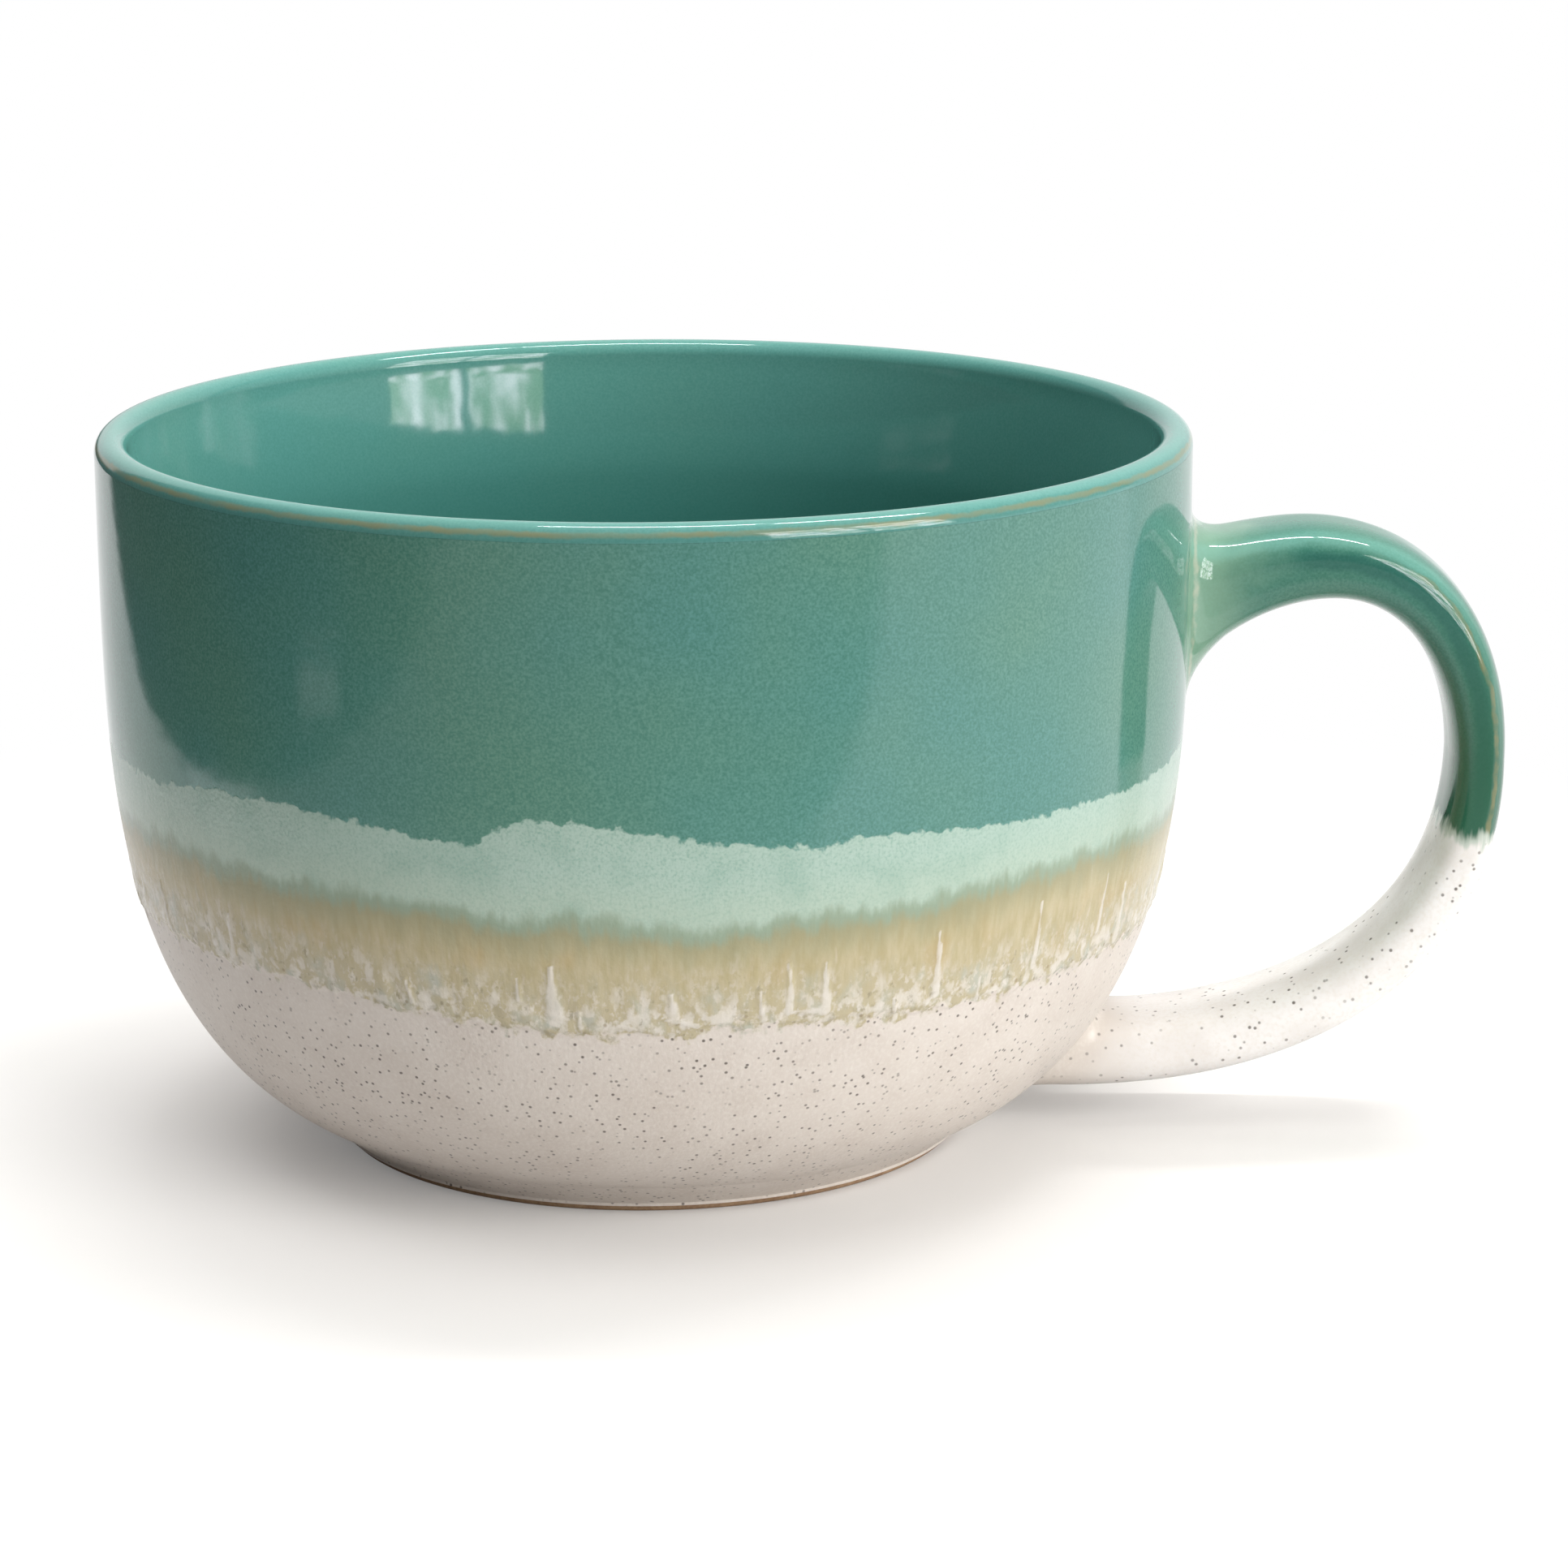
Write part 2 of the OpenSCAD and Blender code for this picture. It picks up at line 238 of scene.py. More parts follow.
def outside_line():
    """Clay from the bare line on the foot, through the hollow above it, up to the lip."""
    hollow_end = wall_points(np.array([HOLLOW]))[0]
    start = np.array([FOOT_R, FOOT_H * HOLLOW_START])
    hollow = quadratic(start, np.array([FOOT_R, FOOT_H]), hollow_end, CURVE_SHARES)
    wall = wall_points(WALL_SHARES)
    return np.vstack([[[FOOT_R, BARE_H]], hollow, wall[1:]])


def inside_line():
    """Clay from the middle of the floor, up the well and over the lip."""
    backing = wall_points(WALL_SHARES)
    well = backing + clay_thickness(WALL_SHARES)[:, None] * left_of(backing)
    flat = np.array([well[0][0] * FLAT_FLOOR, FLOOR_Z])
    floor = quadratic(np.array([0, FLOOR_Z]), flat, well[0], CURVE_SHARES)
    a = np.linspace(math.pi, 0, CURVE_STEPS)
    lip = np.c_[CLAY_R - LIP_R + LIP_R * np.cos(a), LIP_Z + LIP_R * np.sin(a)]
    return np.vstack([floor[:-1], well[:-1], lip])


def coated(line, thickness):
    """A line of clay moved out to its left, or to its right if negative; the axis stays the axis."""
    moved = line + thickness * left_of(line)
    moved[np.isclose(line[:, 0], 0), 0] = 0
    return moved


outside_clay = outside_line()
outside_glaze_line = coated(outside_clay, -GLAZE_T)
outside_way = -left_of(outside_glaze_line)
inside_clay = inside_line()
inside_glaze_line = coated(inside_clay, GLAZE_T)


def wall_radius(line, z):
    return np.interp(z, line[:, 1], line[:, 0])


def edge_height(edge, azimuth):
    degrees, heights = zip(*edge)
    return np.interp(azimuth, degrees, heights, period=360)


def line_steps(line):
    """Length along a line at each of its points."""
    return np.r_[0, np.cumsum(np.linalg.norm(np.diff(line, axis=0), axis=1))]


wall_steps = line_steps(outside_glaze_line)


def way_at(z):
    """Length up the outside wall at a height."""
    return np.interp(z, outside_glaze_line[:, 1], wall_steps)


def on_wall(values, way):
    """The two columns of a table along the outside wall, at lengths up it."""
    return np.interp(way, wall_steps, values[:, 0]), np.interp(way, wall_steps, values[:, 1])


# Relief of the outside glaze
def round_noise(azimuth, z, size, drawn, seed):
    """Smooth noise round the wall, from -1 to 1, with features of a size, drawn out upwards."""
    around = round(2 * math.pi * RIM_R / size)
    up = math.ceil(MUG_H / (size * drawn)) + 2
    table = np.random.default_rng(seed).uniform(-1, 1, (around, up))
    column, row = azimuth / 360 * around, z / (size * drawn)
    i, j = np.floor(column).astype(int), np.floor(row).astype(int)
    across, along = smooth(column - i), smooth(row - j)
    low = mix(table[i % around, j % up], table[(i + 1) % around, j % up], across)
    high = mix(table[i % around, (j + 1) % up], table[(i + 1) % around, (j + 1) % up], across)
    return mix(low, high, along)


def back_runs():
    """Runs on the side that the front doesn't show, spread by chance."""
    draw = np.random.default_rng(RUN_SEED)
    spots = np.linspace(*BACK_RUN_SPAN, BACK_RUN_COUNT)
    for azimuth in spots + draw.uniform(-1, 1, BACK_RUN_COUNT) * (spots[1] - spots[0]) / 2:
        slant = draw.uniform(-BACK_RUN_SLANT, BACK_RUN_SLANT)
        top = draw.uniform(*BACK_RUN_TOP)
        foot = draw.uniform(*BACK_RUN_FOOT)
        yield azimuth, top, azimuth + slant, foot, draw.uniform(*BACK_RUN_WIDTH)


runs = [*FRONT_RUNS, *back_runs()]


def run_share(azimuth, z):
    """How far points lie inside a white run, from 0 to 1; a run is a thin point at its top."""
    share = np.zeros(z.shape)
    per_degree = math.radians(wall_radius(outside_glaze_line, BACK_RUN_TOP[0]))
    for top_azimuth, top_z, foot_azimuth, foot_z, width in runs:
        if z.min() > top_z + RUN_REACH or z.max() < foot_z - RUN_REACH:
            continue
        lean, drop = (foot_azimuth - top_azimuth) * per_degree, foot_z - top_z
        turn = ((azimuth - top_azimuth + 180) % 360 - 180) * per_degree
        near = np.abs(turn - lean / 2) < abs(lean) / 2 + RUN_REACH
        height = z[:, near]
        across = turn[near] + round_noise(azimuth[near], height, FRAY_SIZE, 1, RUN_SEED) * width / 2
        along = np.clip((across * lean + (height - top_z) * drop) / (lean ** 2 + drop ** 2), 0, 1)
        away = np.hypot(across - along * lean, height - top_z - along * drop)
        inside = smooth(RUN_EDGE - away / (width * mix(RUN_TIP, 1, smooth(along))))
        share[:, near] = np.maximum(share[:, near], inside)
    return share


def relief(azimuth, z):
    """Height of the outside glaze over its even coat."""
    fray = FRAY_RISE * round_noise(azimuth, z, FRAY_SIZE, 1, FRAY_SEED)
    above = z - edge_height(AMBER_EDGE, azimuth) + fray
    bead = BEAD_RISE * smooth(above / EDGE_SPAN) * (1 - smooth((above - EDGE_SPAN) / BEAD_FADE))
    near = 1 - smooth(np.abs(above - LACE_MIDDLE) / LACE_SPAN)
    lace = LACE_RISE * near * round_noise(azimuth, z, LACE_SIZE, LACE_DRAWN, LACE_SEED)
    calm = smooth((LIP_Z - z) / CALM_SPAN) * smooth((z - FOOT_H) / CALM_SPAN)
    waves = WAVE_RISE * round_noise(azimuth, z, WAVE_SIZE, 1, WAVE_SEED)
    return calm * (bead + lace + RUN_RISE * run_share(azimuth, z) + waves)


def wall_surface(azimuth, way):
    """Points of the outside glaze at azimuths and lengths up the wall."""
    radius, z = on_wall(outside_glaze_line, way)
    out_r, out_z = on_wall(outside_way, way)
    rise = relief(azimuth, z)
    radius, z = radius + rise * out_r, z + rise * out_z
    turn = np.radians(azimuth)
    return np.stack(np.broadcast_arrays(radius * np.cos(turn), radius * np.sin(turn), z), axis=-1)


# Step over which the slope of the glaze is taken
TOUCH = 0.2


def wall_normals(azimuth, way):
    """Outward normals of the outside glaze."""
    turn = np.degrees(TOUCH / RIM_R)
    around = wall_surface(azimuth + turn, way) - wall_surface(azimuth - turn, way)
    along = wall_surface(azimuth, way + TOUCH) - wall_surface(azimuth, way - TOUCH)
    return unit(np.cross(around, along))


# Meshes, and the part of a layout that the shown rows take
SHOWN_PART = 0.94
UV_MARGIN = 0.004


def grid_normals(grid):
    """Outward normals of a grid of points, whose rows close round."""
    around = np.roll(grid, -1, axis=1) - np.roll(grid, 1, axis=1)
    along = np.gradient(grid, axis=0)
    return unit(np.cross(around, along))


def stack_faces(rows):
    """Faces between neighbouring rows of points, and between the last row and the first, with the column,
    middle column, row and first row of each corner. A row of one point is a tip."""
    starts = np.cumsum([0] + [len(r) for r in rows])
    faces, spots = [], []
    for a, b in enumerate([*range(1, len(rows)), 0]):
        count = max(len(rows[a]), len(rows[b]))
        if count == 1:
            continue
        here = np.arange(count)
        ends = []
        for row, at, columns in ((a, a, (here, here + 1)), (b, a + 1, (here + 1, here))):
            if len(rows[row]) == 1:
                ends.append((np.full(count, starts[row]), here + 0.5, at))
            else:
                ends += [(starts[row] + c % count, c, at) for c in columns]
        faces += np.stack([e[0] for e in ends], axis=1).tolist()
        spot = [np.c_[e[1], here + 0.5, np.full(count, e[2]), np.full(count, a)] for e in ends]
        spots.append(np.stack(spot, axis=1).reshape(-1, 4))
    return faces, np.vstack(spots)


def lay_flat(mesh, spots, columns, shares, lengths):
    """A flat layout: the shown rows cut into a few lengths and stacked, the hidden rows in a thin strip."""
    column, middle, row, first = spots.T
    last = len(shares) - 1
    length = np.floor(middle / columns * lengths)
    u = column / columns * lengths - length
    share = np.interp(row, np.arange(last + 1), shares) * (1 - UV_MARGIN * lengths)
    v = (length + share) / lengths * SHOWN_PART
    hidden = first >= last
    v[hidden] = mix(SHOWN_PART + UV_MARGIN, 1, (row[hidden] - last) / max(row.max() - last, 1))
    layout = mesh.uv_layers.new(name="OFBake")
    layout.data.foreach_set("uv", np.c_[mix(UV_MARGIN, 1 - UV_MARGIN, u), v].astype(np.float32).ravel())


def put_object(name, data):
    """A new object in the scene."""
    made = bpy.data.objects.new(name, data)
    bpy.context.scene.collection.objects.link(made)
    return made


def make_piece(name, rows, shown_normals, shares, lengths):
    """A smooth closed mesh from rows of points; the first are the shown ones, with their own normals."""
    mesh = bpy.data.meshes.new(name)
    faces, spots = stack_faces(rows)
    mesh.from_pydata((np.vstack(rows) * MM).tolist(), [], faces)
    mesh.shade_smooth()
    lay_flat(mesh, spots, max(len(r) for r in rows), shares, lengths)
    own = np.vstack(shown_normals)
    corner = np.concatenate(faces)
    totals = [len(face) for face in faces]
    flat = np.empty(len(faces) * 3)
    mesh.polygons.foreach_get("normal", flat)
    normals = np.repeat(flat.reshape(-1, 3), totals, axis=0)
    starts = np.r_[0, np.cumsum(totals)[:-1]]
    shown = np.repeat(np.maximum.reduceat(corner, starts) < len(own), totals)
    normals[shown] = own[corner[shown]]
    mesh.normals_split_custom_set(normals.tolist())
    return put_object(name, mesh)


def put_attribute(piece, name, values):
    attribute = piece.data.attributes.new(name, "FLOAT", "POINT")
    attribute.data.foreach_set("value", np.asarray(values, np.float32).ravel())


def settle(piece, material, slot, *nodes):
    """The piece gets its material, moves with the mug and stands for its solids."""
    piece.data.materials.append(material)
    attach(piece, "root")
    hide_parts(*nodes)


azimuths = np.linspace(0, 360, COLUMNS, endpoint=False)
cosines = np.cos(np.radians(azimuths))
sines = np.sin(np.radians(azimuths))


def turned(radius, height):
    """Rings of points at radii and heights, each one number or one for every column."""
    return np.stack(np.broadcast_arrays(radius * cosines, radius * sines, height), axis=-1)


edge_lines = {
    "above_teal_edge": edge_height(TEAL_EDGE, azimuths),
    "above_mint_edge": edge_height(MINT_EDGE, azimuths),
    "above_amber_edge": edge_height(AMBER_EDGE, azimuths)}


def wall_strip(name, low, high, rows, lengths):
    """A closed shell of glaze on the outside wall, between two heights at each column."""
    start, end = way_at(low), way_at(high)
    shares = np.linspace(0, 1, rows)
    ways = mix(start, end, shares[:, None])
    inner = turned(*on_wall(outside_clay, mix(end, start, np.linspace(0, 1, INNER_ROWS)[:, None])))
    grid = wall_surface(azimuths, ways)
    piece = make_piece(name, [*grid, *inner], wall_normals(azimuths, ways), shares, lengths)
    heights = np.concatenate([on_wall(outside_glaze_line, ways)[1], inner[:, :, 2]])
    for label, edge in edge_lines.items():
        put_attribute(piece, label, heights - edge)
    put_attribute(piece, "run", run_share(azimuths, heights))
    return piece


# Materials
SCREEN_WHITE = 255


def colour(red, green, blue):
    """A colour given as it shows on a screen, 0 to 255, as the shaders want it."""
    shown = Color((red / SCREEN_WHITE, green / SCREEN_WHITE, blue / SCREEN_WHITE))
    return (*shown.from_srgb_to_scene_linear(), 1)


BLUE_TEAL = colour(86, 143, 137)
GREEN_TEAL = colour(100, 146, 126)
DEEP_TEAL = colour(54, 112, 98)
DARK_TEAL = colour(40, 98, 90)
DEEP_GREEN = colour(50, 112, 86)
DARK_GREEN = colour(38, 92, 64)
LINER_TEAL = colour(90, 152, 146)
# Painted shade: a darker liner colour for the shade down the well
SHADED_LINER = colour(48, 114, 105)
PALE_TEAL = colour(132, 188, 174)
ROOT_GREEN = colour(150, 184, 158)
OCHRE = colour(146, 136, 92)
MINT = colour(177, 201, 188)
LOW_MINT = colour(183, 201, 183)
MINT_SHADE = colour(124, 166, 149)
FRINGE = colour(144, 170, 152)
OLIVE = colour(152, 152, 118)
HONEY = colour(181, 167, 126)
LIGHT_HONEY = colour(203, 191, 158)
ORANGE_HONEY = colour(194, 164, 110)
PALE_STREAK = colour(210, 201, 180)
LACE_OLIVE = colour(192, 180, 150)
LACE_BLUE = colour(186, 189, 179)
LACE_SHADE = colour(146, 136, 112)
RUST = colour(128, 104, 68)
WHITE_GLAZE = colour(226, 219, 210)
CREAM = colour(222, 212, 203)
CREAM_SHADE = colour(209, 197, 187)
PALE_CREAM = colour(234, 227, 219)
# Painted light: a lighter copy of the cream for the lit handle
LIT_HANDLE_CREAM = colour(250, 247, 245)
SPECK = colour(88, 77, 68)
CLAY = colour(176, 146, 114)
CLAY_SHADE = colour(140, 108, 80)
SLIP = colour(190, 166, 138)

NOISE_GAIN = 4


class Surface:
    """Shader nodes of one procedural material, with places on the mug in millimetres."""

    def __init__(self, name):
        self.material = bpy.data.materials.new(name)
        self.take_nodes(self.material)
        self.shader = self.nodes["Principled BSDF"]
        self.place = self.scaled(self.node("TexCoord").outputs["Object"], (1 / MM,) * 3)

    def take_nodes(self, owner):
        owner.use_nodes = True
        self.nodes = owner.node_tree.nodes
        self.links = owner.node_tree.links

    def node(self, kind):
        return self.nodes.new(f"ShaderNode{kind}")

    def feed(self, socket, value):
        if isinstance(value, bpy.types.NodeSocket):
            self.links.new(value, socket)
        else:
            socket.default_value = value

    def wire(self, sockets, *values):
        """Feeds sockets in their order."""
        for socket, value in zip(sockets, values):
            self.feed(socket, value)

    def calculate(self, kind, operation, values):
        """Outputs of a new node that calculates with some values."""
        node = self.node(kind)
        node.operation = operation
        self.wire(node.inputs, *values)
        return node.outputs

    def maths(self, operation, *values):
        return self.calculate("Math", operation, values)["Value"]

    def vector(self, operation, *values):
        return self.calculate("VectorMath", operation, values)

    def scaled(self, place, sizes):
        return self.vector("MULTIPLY", place, sizes)["Vector"]

    def both(self, first, *others):
        """What several shares have in common."""
        for other in others:
            first = self.maths("MULTIPLY", first, other)
        return first

    def total(self, *terms):
        """Sum of pairs of a value and its weight."""
        whole = 0.0
        for value, weight in terms:
            whole = self.maths("MULTIPLY_ADD", value, weight, whole)
        return whole

    def attribute(self, name):
        node = self.node("Attribute")
        node.attribute_name = name
        return node.outputs["Fac"]

    def texture(self, kind, *sizes):
        """A texture with features of sizes along X, Y and Z."""
        node = self.node(kind)
        self.feed(node.inputs["Vector"], self.scaled(self.place, [1 / size for size in sizes]))
        node.inputs["Scale"].default_value = 1
        return node

    def noise(self, size, drawn, detail):
        """Cloudy pattern about 0, mostly between -1 and 1, with features of a size, drawn out upwards."""
        node = self.texture("TexNoise", size, size, size * drawn)
        node.inputs["Detail"].default_value = detail
        return self.total((node.outputs["Fac"], NOISE_GAIN), (1.0, -NOISE_GAIN / 2))

    def noises(self, frays):
        """Sum of noises, given by their patterns and weights."""
        return self.total(*((self.noise(*pattern), weight) for pattern, weight in frays))

    def frayed(self, value, frays):
        """A value with noises added to it."""
        return self.total((value, 1.0), (self.noises(frays), 1.0))

    def cells(self, size):
        """Distance to the middle of the nearest of scattered cells of a size, in millimetres."""
        return self.both(self.texture("TexVoronoi", size, size, size).outputs["Distance"], size)

    def step(self, value, low, high, kind="SMOOTHSTEP"):
        """Step from 0 at low to 1 at high, where low may be the larger."""
        node = self.node("MapRange")
        node.interpolation_type = kind
        ends = sorted((low, high))
        self.wire(node.inputs, value, *ends, float(low > high), float(low < high))
        return node.outputs["Result"]

    def stripe(self, value, rise, fall):
        """Share of a stripe that comes in over one span of a value and goes out over another."""
        return self.both(self.step(value, *rise), self.step(value, *fall))

    def patch(self, pattern, span):
        """Share of the places where a noise is high."""
        return self.step(self.noise(*pattern), *span)

    def blend(self, share, below, above):
        """Colour or number from below to above by a share from 0 to 1."""
        numbers = isinstance(below, float) or getattr(below, "type", "") == "VALUE"
        node = self.node("Mix")
        node.data_type = "FLOAT" if numbers else "RGBA"
        self.wire((i for i in node.inputs if i.enabled), share, below, above)
        return next(o for o in node.outputs if o.enabled)

    def lay(self, below, above, most, *shares):
        """A colour laid over another by what shares have in common, and at most so much of it."""
        return self.blend(self.both(*shares, most), below, above)

    def fade(self, below, above, value, span, most):
        """A colour laid over another as a value goes over a span."""
        return self.lay(below, above, most, self.step(value, *span))

    def dapple(self, below, above, pattern, span, most):
        """A colour laid over another where a noise is high."""
        return self.fade(below, above, self.noise(*pattern), span, most)

    def finish(self, tone, roughness, rise):
        """Feeds the shader its colour, its roughness and the height of its relief in millimetres."""
        self.feed(self.shader.inputs["Base Color"], tone)
        self.feed(self.shader.inputs["Roughness"], roughness)
        bump = self.node("Bump")
        bump.inputs["Strength"].default_value = 1
        bump.inputs["Distance"].default_value = MM
        self.feed(bump.inputs["Height"], rise)
        self.feed(self.shader.inputs["Normal"], bump.outputs["Normal"])
        return self.material


# Roughness of the glazes and of the clay
TEAL_ROUGH = 0.07
MINT_ROUGH = 0.2
AMBER_ROUGH = 0.24
CREAM_ROUGH = 0.36
HANDLE_CREAM_ROUGH = 0.26
CLAY_ROUGH = 0.82

# A pattern is the size of a noise, how far it is drawn out upwards, and its detail; a patch is one with
# the span over which it comes in, and a dapple has the most of its colour too. A fade is a span and the
# most of a colour, a stripe is two spans to come in and to go, and a fray is patterns and their weights

# Teal
TEAL_DRIFT = (26, 1, 2), (-1.1, 1.1), 1
TEAL_BLOOM = 0.12
TEAL_GRAIN = (0.3, 1, 2), (-1.1, 1.1), 0.65


def teal_tone(s):
    """Teal glaze that drifts between blue and green, with a fine grain."""
    tone = s.dapple(GREEN_TEAL, BLUE_TEAL, *TEAL_DRIFT)
    return s.dapple(s.blend(TEAL_BLOOM, tone, PALE_TEAL), DEEP_TEAL, *TEAL_GRAIN)


# Cream, given by the most of its clouds, the size of the cells of its specks and the reach of a speck
CREAM_CLOUDS = (6, 1, 2), (-0.8, 1.2)
CREAM_MOTTLE = (0.45, 1, 1), (-0.6, 1.4), 0.45
SPECK_CROWD = (9, 1, 2), (-1.3, 0.6)
SPECK_SPAN = (1.3, 0.5)
SPECK_MOST = 0.9
BOWL_CREAM = (0.6, 1, 0.2)
# The handle's cream has fewer darker clouds, part of the painted light on the lit handle
SPARSE_CREAM = (0.3, 1.3, 0.22)


def cream_tone(s, ground, clouds, speck_size, speck_reach):
    """Cream glaze with soft clouds and iron specks, on a ground colour."""
    tone = s.dapple(ground, CREAM_SHADE, *CREAM_CLOUDS, clouds)
    tone = s.dapple(tone, PALE_CREAM, *CREAM_MOTTLE)
    speck = s.step(s.cells(speck_size), *(speck_reach * side for side in SPECK_SPAN))
    return s.lay(tone, SPECK, SPECK_MOST, speck, s.patch(*SPECK_CROWD))


# Amber
STREAKS = [((1.3, 5, 2), 0.7), ((0.5, 10, 2), 0.35)]
STREAK_FADE = (-0.9, 1), 0.8
HONEY_GLOW = (4.5, 1.5, 2), (0, 1.1), 0.4
OLIVE_FRAY = [((2.4, 4, 2), 0.8)]
OLIVE_STREAK = 0.4
OLIVE_FADE = (-5.5, -0.4), 0.8
PALE_FRAY = [((0.75, 7, 2), 1)]
PALE_FOOT = (10, 2)
PALE_LOW = 0.7
PALE_FADE = (0.7, 1.9), 0.6


def amber_tone(s, above_mint, above_amber):
    """Honey with fine upright streaks, olive just under the mint and pale towards the foot."""
    streaks = s.noises(STREAKS)
    tone = s.fade(HONEY, LIGHT_HONEY, streaks, *STREAK_FADE)
    tone = s.dapple(tone, ORANGE_HONEY, *HONEY_GLOW)
    olive_side = s.total((s.frayed(above_mint, OLIVE_FRAY), 1.0), (streaks, OLIVE_STREAK))
    tone = s.fade(tone, OLIVE, olive_side, *OLIVE_FADE)
    pale = s.total((s.noises(PALE_FRAY), 1.0), (s.step(above_amber, *PALE_FOOT), PALE_LOW))
    return s.fade(tone, PALE_STREAK, pale, *PALE_FADE)


# Lace at the foot of the amber
LACE_CLOUDS = (2.6, 1.3, 2), (-0.2, 1.1), 1
FROTH = (1.5, 1.5, 4), (0, 0.5), 0.75
FOAM = (0.65, 1.4, 3), (0.1, 0.7), 0.6
PITS = (0.9, 1.2, 3), (0.4, 0.9), 0.65
LUMPS = (2, 1, 3), (0.15, 0.6)
LUMP_SPAN = (5, 1.5)
LUMP_MOST = 0.95
RUST_CELL = 1.7
RUST_REACH = (0.34, 0.12)
RUST_SPAN = (4, 0.6)
RUST_MOST = 0.6


def lace_tone(s, above_amber):
    """Grey-olive and blue-grey clouds smeared with white, and rusty specks along their foot."""
    tone = s.dapple(LACE_OLIVE, LACE_BLUE, *LACE_CLOUDS)
    tone = s.dapple(tone, WHITE_GLAZE, *FROTH)
    tone = s.dapple(tone, WHITE_GLAZE, *FOAM)
    tone = s.dapple(tone, LACE_SHADE, *PITS)
    tone = s.lay(tone, WHITE_GLAZE, LUMP_MOST, s.patch(*LUMPS), s.step(above_amber, *LUMP_SPAN))
    speck = s.step(s.cells(RUST_CELL), *RUST_REACH)
    return s.lay(tone, RUST, RUST_MOST, speck, s.step(above_amber, *RUST_SPAN))


# Mint
LOW_MINT_FADE = (7, 1), 0.7
MINT_CLOUDS = (5, 1, 3), (-0.2, 1.2), 0.3
MINT_GRAIN = (0.32, 1, 2), (-0.5, 1.4)
MINT_GRAIN_SPAN = (-9, 13)
MINT_GRAIN_MOST = 0.7


def mint_tone(s, above_mint):
    """Pale mint, greener below, with a fine teal grain that thickens upwards."""
    tone = s.fade(MINT, LOW_MINT, above_mint, *LOW_MINT_FADE)
    tone = s.dapple(tone, MINT_SHADE, *MINT_CLOUDS)
    upwards = s.step(above_mint, *MINT_GRAIN_SPAN)
    return s.lay(tone, MINT_SHADE, MINT_GRAIN_MOST, s.patch(*MINT_GRAIN), upwards)


# Edges between the bands
LACE_FRAY = [((2.2, 2.2, 2), 1.6), ((0.6, 6, 2), 1.3)]
LACE_FADE = (9, 1.4), 0.9
RUN_FRAY = [((0.9, 1.5, 3), 0.3)]
RUN_FADE = (0.25, 0.95), 0.72
CREAM_FRAY = [((0.9, 1, 3), 0.6), ((2.6, 1, 2), 1.3)]
CREAM_SPAN = (0.4, -0.4)
CREAM_RIM = (-0.2, 0.4), (1.7, 0.7)
CREAM_RIM_BREAKS = (1.4, 1, 2), (-0.1, 0.9)
CREAM_RIM_MOST = 0.5
MINT_FRAY = [((3.2, 2, 2), 0.9), ((0.8, 4, 2), 0.5)]
FRINGE_FADE = (-1.8, 0.3), 0.7
MINT_SPAN = (0, 1.8)
MINT_GLOSS_SPAN = (-1, 1)
TEAL_FRAY = [((1.1, 1, 3), 0.5), ((3.2, 1, 2), 0.4)]
TEAL_SPAN = (-0.22, 0.22)
MATT_GRAIN = [((0.6, 1, 2), 0.012), ((0.55, 12, 2), 0.008)]
GLAZE_WAVES = [((7, 1, 2), 0.01)]


def band_glaze(name):
    """The bands of the outside wall: teal, mint, amber with its white lace, and cream."""
    s = Surface(name)
    above_teal = s.attribute("above_teal_edge")
    above_mint = s.attribute("above_mint_edge")
    above_amber = s.attribute("above_amber_edge")

    # Amber that breaks into lace above its foot, with white runs
    amber, lace = amber_tone(s, above_mint, above_amber), lace_tone(s, above_amber)
    wall = s.fade(amber, lace, s.frayed(above_amber, LACE_FRAY), *LACE_FADE)
    wall = s.fade(wall, WHITE_GLAZE, s.frayed(s.attribute("run"), RUN_FRAY), *RUN_FADE)

    # Cream below a ragged edge
    cream_side = s.frayed(above_amber, CREAM_FRAY)
    cream = s.step(cream_side, *CREAM_SPAN)
    rim = s.stripe(cream_side, *CREAM_RIM)
    wall = s.lay(wall, LACE_SHADE, CREAM_RIM_MOST, rim, s.patch(*CREAM_RIM_BREAKS))
    wall = s.blend(cream, wall, cream_tone(s, CREAM, *BOWL_CREAM))

    # Mint with a soft fringe that drips into the amber
    mint_side = s.frayed(above_mint, MINT_FRAY)
    wall = s.fade(wall, FRINGE, mint_side, *FRINGE_FADE)
    wall = s.blend(s.step(mint_side, *MINT_SPAN), wall, mint_tone(s, above_mint))

    # Teal above a torn edge
    teal = s.step(s.frayed(above_teal, TEAL_FRAY), *TEAL_SPAN)
    wall = s.blend(teal, wall, teal_tone(s))

    rough = s.blend(s.step(above_mint, *MINT_GLOSS_SPAN), AMBER_ROUGH, MINT_ROUGH)
    rough = s.blend(teal, s.blend(cream, rough, CREAM_ROUGH), TEAL_ROUGH)
    matt = s.both(s.noises(MATT_GRAIN), s.maths("SUBTRACT", 1.0, teal))
    return s.finish(wall, rough, s.frayed(matt, GLAZE_WAVES))


# Liner, by the length over the lip from its crest, which is negative down the well
LINER_SHARE = 0.6
LIP_FRAY = [((2.2, 1, 2), 0.15)]
# The liner darkens down the well: painted shade
WELL_SHADE_FADE = (-4, -34), 0.7
CREST = (-1.8, -0.2), (2, 1)
CREST_MOST = 0.2
LIP_THREAD = (1.7, 2.1), (2.7, 2.3)
LIP_THREAD_BREAKS = (7, 1, 3), (-2, 1)
LIP_THREAD_MOST = 0.7


